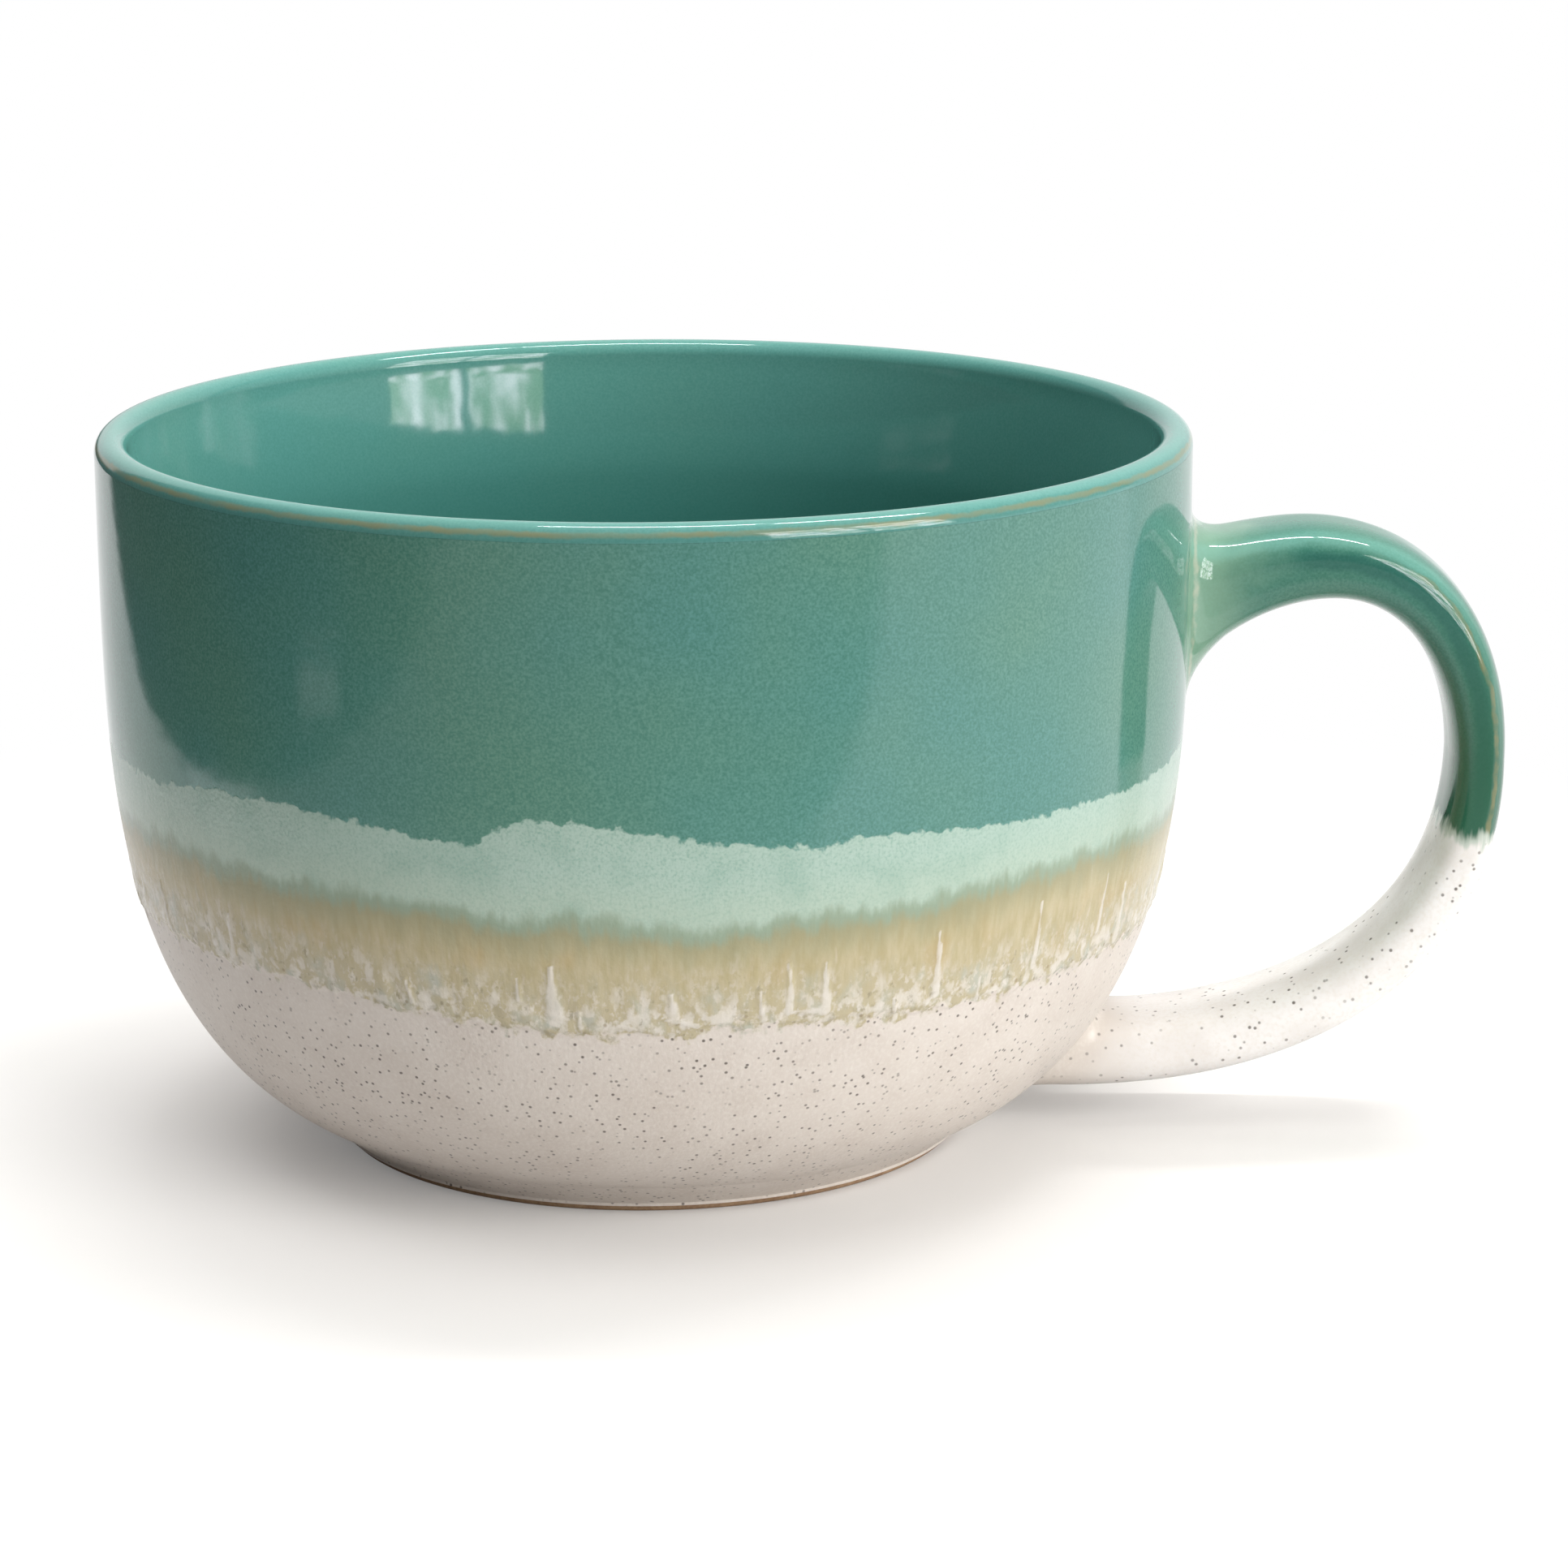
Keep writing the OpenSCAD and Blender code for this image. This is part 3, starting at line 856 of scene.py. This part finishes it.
def liner_glaze():
    """Teal liner that breaks pale over the lip, with a thread of ochre along its outer edge."""
    s = Surface("liner_glaze")
    over_lip = s.frayed(s.attribute("over_lip"), LIP_FRAY)
    tone = s.blend(LINER_SHARE, teal_tone(s), LINER_TEAL)
    # Painted shade: the liner darkens with depth down the well
    tone = s.fade(tone, SHADED_LINER, over_lip, *WELL_SHADE_FADE)
    tone = s.lay(tone, PALE_TEAL, CREST_MOST, s.stripe(over_lip, *CREST))
    thread = s.stripe(over_lip, *LIP_THREAD)
    tone = s.lay(tone, OCHRE, LIP_THREAD_MOST, thread, s.patch(*LIP_THREAD_BREAKS))
    return s.finish(tone, TEAL_ROUGH, s.noises(GLAZE_WAVES))


# Handle, by the lengths from its upper toe, round from its outer corner and past the change of glaze
HANDLE_SHARE = 0.45
ROOT_FRAY = [((5, 1, 2), 2)]
ROOT_FADE = (15, 4), 0.6
CORNER_FRAY = [((3, 1, 2), 0.3)]
PALE_EDGE = (-2, -0.2), (1.8, 0.4)
PALE_EDGE_MOST = 0.35
DARK_STRIPE = (1.4, 2.4), (4.4, 3.4)
DARK_STRIPE_SPAN = (9, 18)
DARK_STRIPE_MOST = 0.6
DARK_FADE = (-34, -4), 0.75
EDGE_THREAD = (0.9, 1.2), (1.9, 1.5)
EDGE_THREAD_SPAN = (-40, -26)
EDGE_THREAD_BREAKS = (2.4, 1, 3), (-1.2, 0.6)
EDGE_THREAD_MOST = 0.65
ROOT_LINE_FRAY = [((1.6, 1, 2), 0.3)]
ROOT_LINE = (1.7, 2.3), (3.1, 2.5)
ROOT_LINE_BREAKS = (1.8, 1, 3), (-1, 0.8)
ROOT_LINE_MOST = 0.45
DRIP_FRAY = [((0.8, 5, 2), 0.8), ((2.6, 3, 2), 1.1)]
DRIP_SPAN = (-0.9, 0.6)
DRIP_SHARE = 0.4
DRIP_TONE = tuple(mix(np.array(MINT), np.array(CREAM), DRIP_SHARE))
HANDLE_CREAM_SPAN = (0.4, 1.6)
LOW_ROOT_SPAN = (-12, -2)
HANDLE_WAVES = [((6, 1, 2), 0.012)]


def handle_glaze(name):
    """Teal that runs out into cream down the handle, thin and pale at the corners and at the upper root."""
    s = Surface(name)
    past = s.attribute("past_change")
    from_toe = s.attribute("from_toe")
    tone = s.blend(HANDLE_SHARE, teal_tone(s), DEEP_GREEN)
    root_side = s.frayed(from_toe, ROOT_FRAY)
    tone = s.fade(tone, ROOT_GREEN, root_side, *ROOT_FADE)
    edge_side = s.frayed(s.attribute("from_corner"), CORNER_FRAY)
    tone = s.lay(tone, PALE_TEAL, PALE_EDGE_MOST, s.stripe(edge_side, *PALE_EDGE))
    stripe = s.stripe(edge_side, *DARK_STRIPE)
    tone = s.lay(tone, DARK_TEAL, DARK_STRIPE_MOST, stripe, s.step(root_side, *DARK_STRIPE_SPAN))
    tone = s.fade(tone, DARK_GREEN, past, *DARK_FADE)
    thread = s.both(s.stripe(edge_side, *EDGE_THREAD), s.step(past, *EDGE_THREAD_SPAN))
    tone = s.lay(tone, OCHRE, EDGE_THREAD_MOST, thread, s.patch(*EDGE_THREAD_BREAKS))
    root_line = s.stripe(s.frayed(from_toe, ROOT_LINE_FRAY), *ROOT_LINE)
    tone = s.lay(tone, PALE_STREAK, ROOT_LINE_MOST, root_line, s.patch(*ROOT_LINE_BREAKS))

    # Drips that end in cream; on the handle the cream is a lighter copy, painted light for the lit handle,
    # and at the lower root it is the bowl's cream again
    drips = s.frayed(past, DRIP_FRAY)
    tone = s.blend(s.step(drips, *DRIP_SPAN), tone, DRIP_TONE)
    low_toe = marks["past_change"].max()
    low_root = s.step(past, *(low_toe + side for side in LOW_ROOT_SPAN))
    ground = s.blend(low_root, LIT_HANDLE_CREAM, CREAM)
    cream = s.step(drips, *HANDLE_CREAM_SPAN)
    tone = s.blend(cream, tone, cream_tone(s, ground, *SPARSE_CREAM))
    return s.finish(tone, s.blend(cream, TEAL_ROUGH, HANDLE_CREAM_ROUGH), s.noises(HANDLE_WAVES))


# Glaze of the recess, and bare clay
CREAM_GRAIN = [((0.6, 1, 2), 0.012)]
CLAY_MOTTLE = [((4, 1, 2), 0.6), ((0.5, 1, 4), 0.5)]
CLAY_SPAN = (-0.8, 1)
CLAY_GRAIN = [((0.5, 1, 4), 0.02)]


def recess_glaze(name):
    """Cream glaze under the floor."""
    s = Surface(name)
    tone = cream_tone(s, CREAM, *BOWL_CREAM)
    return s.finish(tone, CREAM_ROUGH, s.noises(CREAM_GRAIN))


def bare_clay(name, tone, shade):
    """Fired clay with a sandy grain."""
    s = Surface(name)
    mottle = s.step(s.noises(CLAY_MOTTLE), *CLAY_SPAN)
    return s.finish(s.blend(mottle, tone, shade), CLAY_ROUGH, s.noises(CLAY_GRAIN))


# Pieces of the bowl: node, slot, edges, rows of points and lengths of the layout
wall_top = np.full(COLUMNS, LIP_Z)
teal_edge, mint_edge, amber_edge = edge_lines.values()
foot_edge = np.full(COLUMNS, BARE_H)
BANDS = (
    ("green_glaze", "teal_glaze", teal_edge, wall_top, 60, 3),
    ("mint_glaze", "mint_glaze", mint_edge, teal_edge, 24, 6),
    ("amber_glaze", "amber_glaze", amber_edge, mint_edge, 44, 5),
    ("cream_glaze", "cream_glaze", foot_edge, amber_edge, 84, 3))
for band, slot, low, high, rows, lengths in BANDS:
    settle(wall_strip(f"{band}_coat", low, high, rows, lengths), band_glaze(band), slot, band)


def liner():
    """Glaze of the well: over the lip, down the wall and across the floor."""
    lip_start = len(inside_clay) - CURVE_STEPS
    lip = np.arange(len(inside_clay) - 1, lip_start, -LIP_STRIDE)
    ways = line_steps(inside_glaze_line)
    well = np.searchsorted(ways, np.linspace(ways[lip_start], ways[CURVE_STEPS - 1], WELL_ROWS))[1:]
    floor = np.arange(0, CURVE_STEPS - 1, FLOOR_STRIDE)[::-1]
    kept = np.r_[lip, well, floor]
    shown = inside_glaze_line[kept]
    facing = left_of(inside_glaze_line)[kept]
    shown_rows = [turned(r, z) for r, z in shown[:-1]]
    shown_normals = [turned(r, z) for r, z in facing[:-1]]
    tip = np.array([[0, 0, shown[-1][1]]])
    hidden_tip = np.array([[0, 0, inside_clay[0][1]]])
    hidden_rows = [turned(r, z) for r, z in inside_clay[1::HIDDEN_STRIDE]]
    hidden_rows.append(turned(*inside_clay[-1]))
    rows = [*shown_rows, tip, hidden_tip, *hidden_rows]
    normals = [*shown_normals, np.array([[0, 0, 1]])]
    steps = line_steps(shown)
    piece = make_piece("liner_glaze_coat", rows, normals, steps / steps[-1], LINER_LENGTHS)
    over = steps[np.argmax(shown[:, 1])] - np.r_[steps, np.full(len(rows) - len(steps), steps[-1])]
    put_attribute(piece, "over_lip", np.repeat(over, [len(row) for row in rows]))
    return piece


settle(liner(), liner_glaze(), "liner_glaze", "liner_glaze")


def clay_bowl():
    """The clay under the glaze, with the bare foot ring and its worn edges."""
    turn = np.linspace(0, math.pi / 2, EDGE_STEPS)
    inner_r = FOOT_R - FOOT_W
    worn = FOOT_EDGE_R
    recess = np.array([(inner_r / 2, RECESS_H), (inner_r - worn, RECESS_H), (inner_r, RECESS_H),
                       (inner_r, RECESS_H / 2 + worn)])
    inner_edge = np.c_[inner_r + worn - worn * np.cos(turn), worn - worn * np.sin(turn)]
    outer_edge = np.c_[FOOT_R - worn + worn * np.sin(turn), worn - worn * np.cos(turn)]
    foot = np.vstack([recess, inner_edge, outer_edge])
    up = np.vstack([outside_clay[::HIDDEN_STRIDE], outside_clay[-1]])
    lip = inside_clay[-CURVE_STEPS:-1:FLOOR_STRIDE][::-1]
    down = inside_clay[CURVE_STEPS:-CURVE_STEPS:HIDDEN_STRIDE][::-1]
    floor = inside_clay[1:CURVE_STEPS:FLOOR_STRIDE][::-1]
    line = np.vstack([foot, up, lip, down, floor])
    rings = [turned(r, z) for r, z in line]
    shown = len(foot) + 1
    tip_low, tip_high = np.array([[0, 0, RECESS_H]]), np.array([[0, 0, FLOOR_Z]])
    normals = grid_normals(np.array(rings[:shown]))
    rows = [*rings, tip_high, tip_low]
    return make_piece("clay_bowl", rows, normals, np.linspace(0, 1, shown), CLAY_LENGTHS)


settle(clay_bowl(), bare_clay("stoneware", CLAY, CLAY_SHADE), "stoneware", "bowl")


# Pieces of the handle
def handle_curves():
    """The two cubic curves of the handle's line, from the upper root to the lower one, in X and Z."""
    upper_x = wall_radius(outside_clay, UPPER_ROOT_Z)
    lower_x = wall_radius(outside_clay, LOWER_ROOT_Z)
    bend_x = REACH_X - GLAZE_T - HANDLE_T / 2
    bend_z = mix(LOWER_ROOT_Z, UPPER_ROOT_Z, BEND)
    upper_arm = (bend_x - upper_x) * UPPER_ARM
    lower_arm = (bend_x - lower_x) * LOWER_ARM
    bend = (bend_x, bend_z)
    upper = np.array([
        (upper_x, UPPER_ROOT_Z), (upper_x + upper_arm, UPPER_ROOT_Z + upper_arm * UPPER_LIFT),
        (bend_x, mix(bend_z, UPPER_ROOT_Z, UPPER_BEND_ARM)), bend])
    lower = np.array([
        bend, (bend_x, mix(bend_z, LOWER_ROOT_Z, LOWER_BEND_ARM)),
        (lower_x + lower_arm, LOWER_ROOT_Z - lower_arm * LOWER_DROP), (lower_x, LOWER_ROOT_Z)])
    return upper, lower


upper_curve, lower_curve = handle_curves()
side_angles = np.linspace(0, 2 * math.pi, HANDLE_SIDES, endpoint=False)


def line_part(s):
    """The curve that holds a share of the handle's line, and the share of that curve."""
    return (upper_curve, 2 * s) if s < 0.5 else (lower_curve, 2 * s - 1)


def line_point(s):
    return cubic(*line_part(s))


def line_way(s):
    curve, t = line_part(s)
    return unit(quadratic(*np.diff(curve, axis=0), t))


def squared(v):
    return np.sign(v) * np.abs(v) ** (2 / SECTION_POWER)


def section(s, grow):
    """Ring of the handle's section at a share of its line, grown by a margin."""
    middle, way = line_point(s), line_way(s)
    flare = ROOT_FLARE * max(1 - 2 * s, 0) ** FLARE_POWER
    half_t = (mix(HANDLE_T, ROOT_T, abs(2 * s - 1)) + flare) / 2 + grow
    across = squared(np.cos(side_angles)) * half_t
    beside = squared(np.sin(side_angles)) * (HANDLE_HALF_W + grow)
    return np.c_[middle[0] - way[1] * across, beside, middle[1] + way[0] * across]


def seated(ring, line, lift):
    """A ring moved along X onto a line of the wall, and lifted off it."""
    x = np.sqrt(wall_radius(line, ring[:, 2]) ** 2 - ring[:, 1] ** 2) + lift
    return np.c_[x, ring[:, 1:]]


def cope_weight(s):
    return (1 - s / COPE) ** 2 if s < COPE else 0


def coped(s, grow):
    """A ring of the handle, bent to the shape of the wall near its roots."""
    ring = section(s, grow)
    for end, weight in ((0, cope_weight(s)), (1, cope_weight(1 - s))):
        root = section(end, 0)
        ring[:, 0] += weight * (seated(root, outside_clay, SLIP_T) - root)[:, 0]
    return ring


def toe(end):
    """Foot of a root's fillet on the wall, no lower than the hollow above the foot."""
    root, side = section(end, 0), section(end, SIDE_FILLET)
    tall = section(end, LOWER_FILLET if end else UPPER_FILLET)
    spread = wall_radius(outside_clay, root[:, 2] + LIP_R) - wall_radius(outside_clay, root[:, 2] - LIP_R)
    steepness = 1 / np.sqrt(1 + (spread / LIP_T) ** 2)
    lowest = wall_points(np.array([HOLLOW]))[0][1]
    z = np.maximum(mix(root[:, 2], tall[:, 2], steepness), lowest)
    return np.c_[root[:, 0], side[:, 1], z]


# Length run along the line per share of it at an end, in arms of its curve
END_SPEED = 6


def handle_rings(grow, line, lift):
    """Rings of a coat on the handle, from the upper toe to the lower one."""
    upper_climb = UPPER_FILLET / np.linalg.norm(upper_curve[1] - upper_curve[0]) / END_SPEED
    lower_climb = LOWER_FILLET / np.linalg.norm(lower_curve[3] - lower_curve[2]) / END_SPEED
    body = [coped(s, grow) for s in np.linspace(upper_climb, 1 - lower_climb, HANDLE_RINGS)]
    fillets = []
    for end, top in ((0, body[0]), (1, body[-1])):
        foot = seated(toe(end), line, lift)
        corner = seated(section(end, grow), line, lift)
        fillets.append([quadratic(foot, corner, top, t) for t in np.linspace(0, 1, FILLET_RINGS)[:-1]])
    return np.array([*fillets[0], *body, *fillets[1][::-1]])


coat_rings = handle_rings(GLAZE_T, outside_glaze_line, 0)[:, ::-1]
clay_rings = handle_rings(0, outside_clay, SEAT_GAP)[:, ::-1]
coat_normals = grid_normals(coat_rings)
change_ring = FILLET_RINGS + int(HANDLE_RINGS * CHANGE)


def ring_marks(rings):
    """Three lengths for each point: past the change of glaze, round from the nearest outer corner towards
    the side, and from the upper toe."""
    steps = np.linalg.norm(np.diff(rings, axis=0), axis=2)
    from_toe = np.vstack([np.zeros(rings.shape[1]), np.cumsum(steps, axis=0)])
    middle = rings.mean(axis=1)
    along = line_steps(middle)
    past = np.repeat((along - along[change_ring])[:, None], rings.shape[1], axis=1)
    around = np.linalg.norm(np.roll(rings, -1, axis=1) - rings, axis=2)
    places = np.cumsum(around, axis=1) - around
    whole = around.sum(axis=1, keepdims=True)
    eighth = rings.shape[1] // 8
    from_crown = np.minimum(places, whole - places)
    from_corner = from_crown - from_crown[:, eighth:eighth + 1]
    return {"past_change": past, "from_corner": from_corner, "from_toe": from_toe}


marks = ring_marks(coat_rings)


def handle_coat(name, first, last):
    """A closed shell of glaze over part of the handle."""
    hidden = [*range(last - 1, first, -HANDLE_STRIDE), first]
    rows = [*coat_rings[first:last], *clay_rings[hidden]]
    steps = line_steps(coat_rings[first:last].mean(axis=1))
    piece = make_piece(name, rows, coat_normals[first:last], steps / steps[-1], HANDLE_LENGTHS)
    for label, values in marks.items():
        put_attribute(piece, label, np.concatenate([values[first:last], values[hidden]]))
    return piece


HANDLE_COATS = (
    ("handle_green_glaze", "teal_glaze", 0, change_ring + 1),
    ("handle_cream_glaze", "cream_glaze", change_ring, len(coat_rings)))
for coat, slot, first, last in HANDLE_COATS:
    settle(handle_coat(f"{coat}_coat", first, last), handle_glaze(coat), slot, coat)

# Solids that keep their own mesh
slip_clay = bare_clay("slip", SLIP, CLAY)
KEPT_SOLIDS = {
    "handle": bare_clay("handle_stoneware", CLAY, CLAY_SHADE),
    "upper_slip_joint": slip_clay,
    "lower_slip_joint": slip_clay,
    "base_glaze": recess_glaze("base_glaze")}
for node, material in KEPT_SOLIDS.items():
    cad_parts[node].data.materials.clear()
    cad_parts[node].data.materials.append(material)


# Floor and room; a sector of the room is given by the azimuth of its middle and half its width
FLOOR_HALF = 4000
FLOOR_TONE = (0.74, 0.73, 0.72, 1)
SHADOW_TONE = (0.75, 0.735, 0.715, 1)
FLOOR_GLOW = 0.17
FLOOR_SPAN = (90, 220)
MIRROR_SPAN = (110, 240)
BACKDROP = (81, 50)
SIDE_WALL = (-4, 30)
SECTOR_SOFT = 3
BACKDROP_LIGHT = 0.8
SIDE_LIGHT = 0.55
ROOM_LIGHT = 0.08
CEILING_SPAN = (0.6, 0.9)
CEILING_LIGHT = 0.5
CAMERA_LIGHT = 1.0
WHITE = (1, 1, 1, 1)

# Below the horizon the glaze mirrors paper with an edge on the left, and a leaning card on the right
HORIZON_SPAN = (0.05, -0.05)
PAPER_SIDE = (1, 0, -3.2)
CARD_SIDE = (0.24, 0.555, -0.79)
SIDE_SOFT = 0.03
PAPER_LIGHT = 0.5
CARD_LIGHT = 1.5
BEHIND = (95, 64)
BEHIND_LIGHT = 1.0
GLINT = (-159, 4)
GLINT_HEIGHT = (-0.254, -0.246), (-0.222, -0.23)
GLINT_LIGHT = 0.9


def floor_material():
    """Pale paper that takes the shadow near the mug and is white further off."""
    s = Surface("floor")
    away = s.vector("LENGTH", s.place)["Value"]
    seen = s.node("LightPath").outputs["Is Camera Ray"]
    unseen = s.maths("SUBTRACT", 1.0, seen)
    paper = s.node("BsdfDiffuse")
    s.feed(paper.inputs["Color"], s.blend(seen, FLOOR_TONE, SHADOW_TONE))
    glow = s.node("Emission")
    s.feed(glow.inputs["Strength"], s.both(seen, FLOOR_GLOW))
    near = s.node("AddShader")
    s.wire(near.inputs, paper.outputs[0], glow.outputs[0])
    white = s.node("Emission")
    clear = s.node("BsdfTransparent")
    shown = near.outputs[0]
    for share, span, beyond in ((seen, FLOOR_SPAN, white), (unseen, MIRROR_SPAN, clear)):
        layer = s.node("MixShader")
        s.wire(layer.inputs, s.both(share, s.step(away, *span)), shown, beyond.outputs[0])
        shown = layer.outputs[0]
    s.feed(s.nodes["Material Output"].inputs["Surface"], shown)
    return s.material


def make_floor():
    """A square of paper under the mug."""
    mesh = bpy.data.meshes.new("floor")
    half = FLOOR_HALF * MM
    square = [(-half, -half, 0), (half, -half, 0), (half, half, 0), (-half, half, 0)]
    mesh.from_pydata(square, [], [(0, 1, 2, 3)])
    floor = put_object("floor", mesh)
    floor.data.materials.append(floor_material())


class Room(Surface):
    """Shader nodes of the world, by direction."""

    def __init__(self, world):
        self.take_nodes(world)
        self.way = self.node("TexCoord").outputs["Generated"]

    def sector(self, middle, half):
        """Share of a soft-edged sector of azimuth."""
        level = self.vector("NORMALIZE", self.scaled(self.way, (1, 1, 0)))["Vector"]
        turn = math.radians(middle)
        along = self.vector("DOT_PRODUCT", level, (math.cos(turn), math.sin(turn), 0))["Value"]
        edges = (math.cos(math.radians(half + side)) for side in (SECTOR_SOFT, -SECTOR_SOFT))
        return self.step(along, *edges)

    def side(self, normal):
        """Share of the side of a plane through the mug that its normal points to."""
        along = self.vector("DOT_PRODUCT", self.way, normal)["Value"]
        return self.step(along, -SIDE_SOFT, SIDE_SOFT)


def make_world():
    """A dim room, a bright backdrop, what the glaze mirrors below the horizon, and white for the camera."""
    world = bpy.data.worlds.new("world")
    bpy.context.scene.world = world
    room = Room(world)
    up = room.node("SeparateXYZ")
    room.feed(up.inputs[0], room.way)
    height = up.outputs["Z"]
    light = room.blend(room.sector(*SIDE_WALL), ROOM_LIGHT, SIDE_LIGHT)
    light = room.blend(room.sector(*BACKDROP), light, BACKDROP_LIGHT)
    light = room.blend(room.step(height, *CEILING_SPAN), light, CEILING_LIGHT)

    mirrored = room.blend(room.side(CARD_SIDE), PAPER_LIGHT, CARD_LIGHT)
    mirrored = room.blend(room.sector(*BEHIND), mirrored, BEHIND_LIGHT)
    mirrored = room.blend(room.side(PAPER_SIDE), ROOM_LIGHT, mirrored)
    glint = room.both(room.stripe(height, *GLINT_HEIGHT), room.sector(*GLINT))
    mirrored = room.blend(glint, mirrored, GLINT_LIGHT)

    path = room.node("LightPath")
    below = room.both(path.outputs["Is Glossy Ray"], room.step(height, *HORIZON_SPAN))
    light = room.blend(below, light, mirrored)
    seen = room.maths("MAXIMUM", path.outputs["Is Camera Ray"], path.outputs["Is Transmission Ray"])
    background = room.nodes["Background"]
    room.feed(background.inputs["Color"], WHITE)
    room.feed(background.inputs["Strength"], room.blend(seen, light, CAMERA_LIGHT))


# Lamps: a window of panes to the right of the camera, a broad soft light overhead and two strips behind
WINDOW_AZIMUTH = -44
WINDOW_AWAY = 1300
WINDOW_LOW = 150
PANE_W = 440
PANE_H = 300
PANE_GAP = 40
PANE_COLUMNS = 2
PANE_ROWS = 3
PANE_WATTS = 2.98
LEAF_PATTERN = (90, 1, 2)
LEAF_SPAN = (-0.48, 0.48)
LEAF_TONE = (0.28, 0.36, 0.18, 1)
SKY_TONE = (1.74, 1.66, 1.8, 1)
TOP_AT = (-120, 140, 1300)
TOP_SIDE = 1500
TOP_WATTS = 12.6
STRIP_X = (0, 370)
STRIP_Y = 200
STRIP_Z = 1050
STRIP_W = 340
STRIP_H = 60
STRIP_WATTS = 2.4
AIM = (0, 0, 40)


def softbox(name, at, aim, width, height, watts):
    """A lamp with a flat face, which looks from one place at another."""
    data = bpy.data.lights.new(name, "AREA")
    data.shape = "RECTANGLE"
    data.size = width * MM
    data.size_y = height * MM
    data.energy = watts
    lamp = put_object(name, data)
    turn = (Vector(aim) - Vector(at)).to_track_quat("-Z", "Y").to_matrix().to_4x4()
    lamp.matrix_world = Matrix.Translation(Vector(at) * MM) @ turn
    return lamp


class Pane(Surface):
    """Shader nodes of a lamp, with places in the room in millimetres."""

    def __init__(self, lamp):
        self.take_nodes(lamp)
        self.place = self.scaled(self.node("NewGeometry").outputs["Position"], (1 / MM,) * 3)


def leafy(lamp):
    """Breaks up a pane with leaves outside it."""
    pane = Pane(lamp.data)
    sky = pane.step(pane.noise(*LEAF_PATTERN), *LEAF_SPAN, kind="LINEAR")
    pane.feed(pane.nodes["Emission"].inputs["Color"], pane.blend(sky, LEAF_TONE, SKY_TONE))


def make_lamps():
    """The window, the light overhead and the strips."""
    turn = math.radians(WINDOW_AZIMUTH)
    out = Vector((math.cos(turn), math.sin(turn), 0))
    beside = Vector((-math.sin(turn), math.cos(turn), 0))
    for column in range(PANE_COLUMNS):
        for row in range(PANE_ROWS):
            shift = (column - (PANE_COLUMNS - 1) / 2) * (PANE_W + PANE_GAP)
            z = WINDOW_LOW + PANE_H / 2 + row * (PANE_H + PANE_GAP)
            at = out * WINDOW_AWAY + beside * shift + Vector((0, 0, z))
            leafy(softbox(f"pane_{column}_{row}", at, at - out, PANE_W, PANE_H, PANE_WATTS))
    softbox("top", TOP_AT, AIM, TOP_SIDE, TOP_SIDE, TOP_WATTS).visible_glossy = False
    for number, x in enumerate(STRIP_X):
        at = Vector((x, STRIP_Y, STRIP_Z))
        softbox(f"strip_{number}", at, at - Vector((0, 0, 1)), STRIP_W, STRIP_H, STRIP_WATTS)


def make_camera():
    """The camera of the photo, with its pitch, yaw and roll."""
    pitch, yaw, roll = (math.radians(a) for a in (CAMERA_PITCH, CAMERA_YAW, CAMERA_ROLL))
    forward = Vector((math.sin(yaw) * math.cos(pitch), math.cos(yaw) * math.cos(pitch), -math.sin(pitch)))
    level = Vector((math.cos(yaw), -math.sin(yaw), 0))
    upward = level.cross(forward)
    right = math.cos(roll) * level + math.sin(roll) * upward
    up = -math.sin(roll) * level + math.cos(roll) * upward
    data = bpy.data.cameras.new("camera")
    data.sensor_width = SENSOR_W
    data.lens = FOCAL_PIXELS / PHOTO_SIDE * SENSOR_W
    camera = put_object("camera", data)
    axes = Matrix((right, up, -forward)).transposed().to_4x4()
    camera.matrix_world = Matrix.Translation(Vector(CAMERA_AT) * MM) @ axes
    bpy.context.scene.camera = camera


make_floor()
make_world()
make_lamps()
make_camera()
bpy.context.scene.view_settings.view_transform = "Standard"
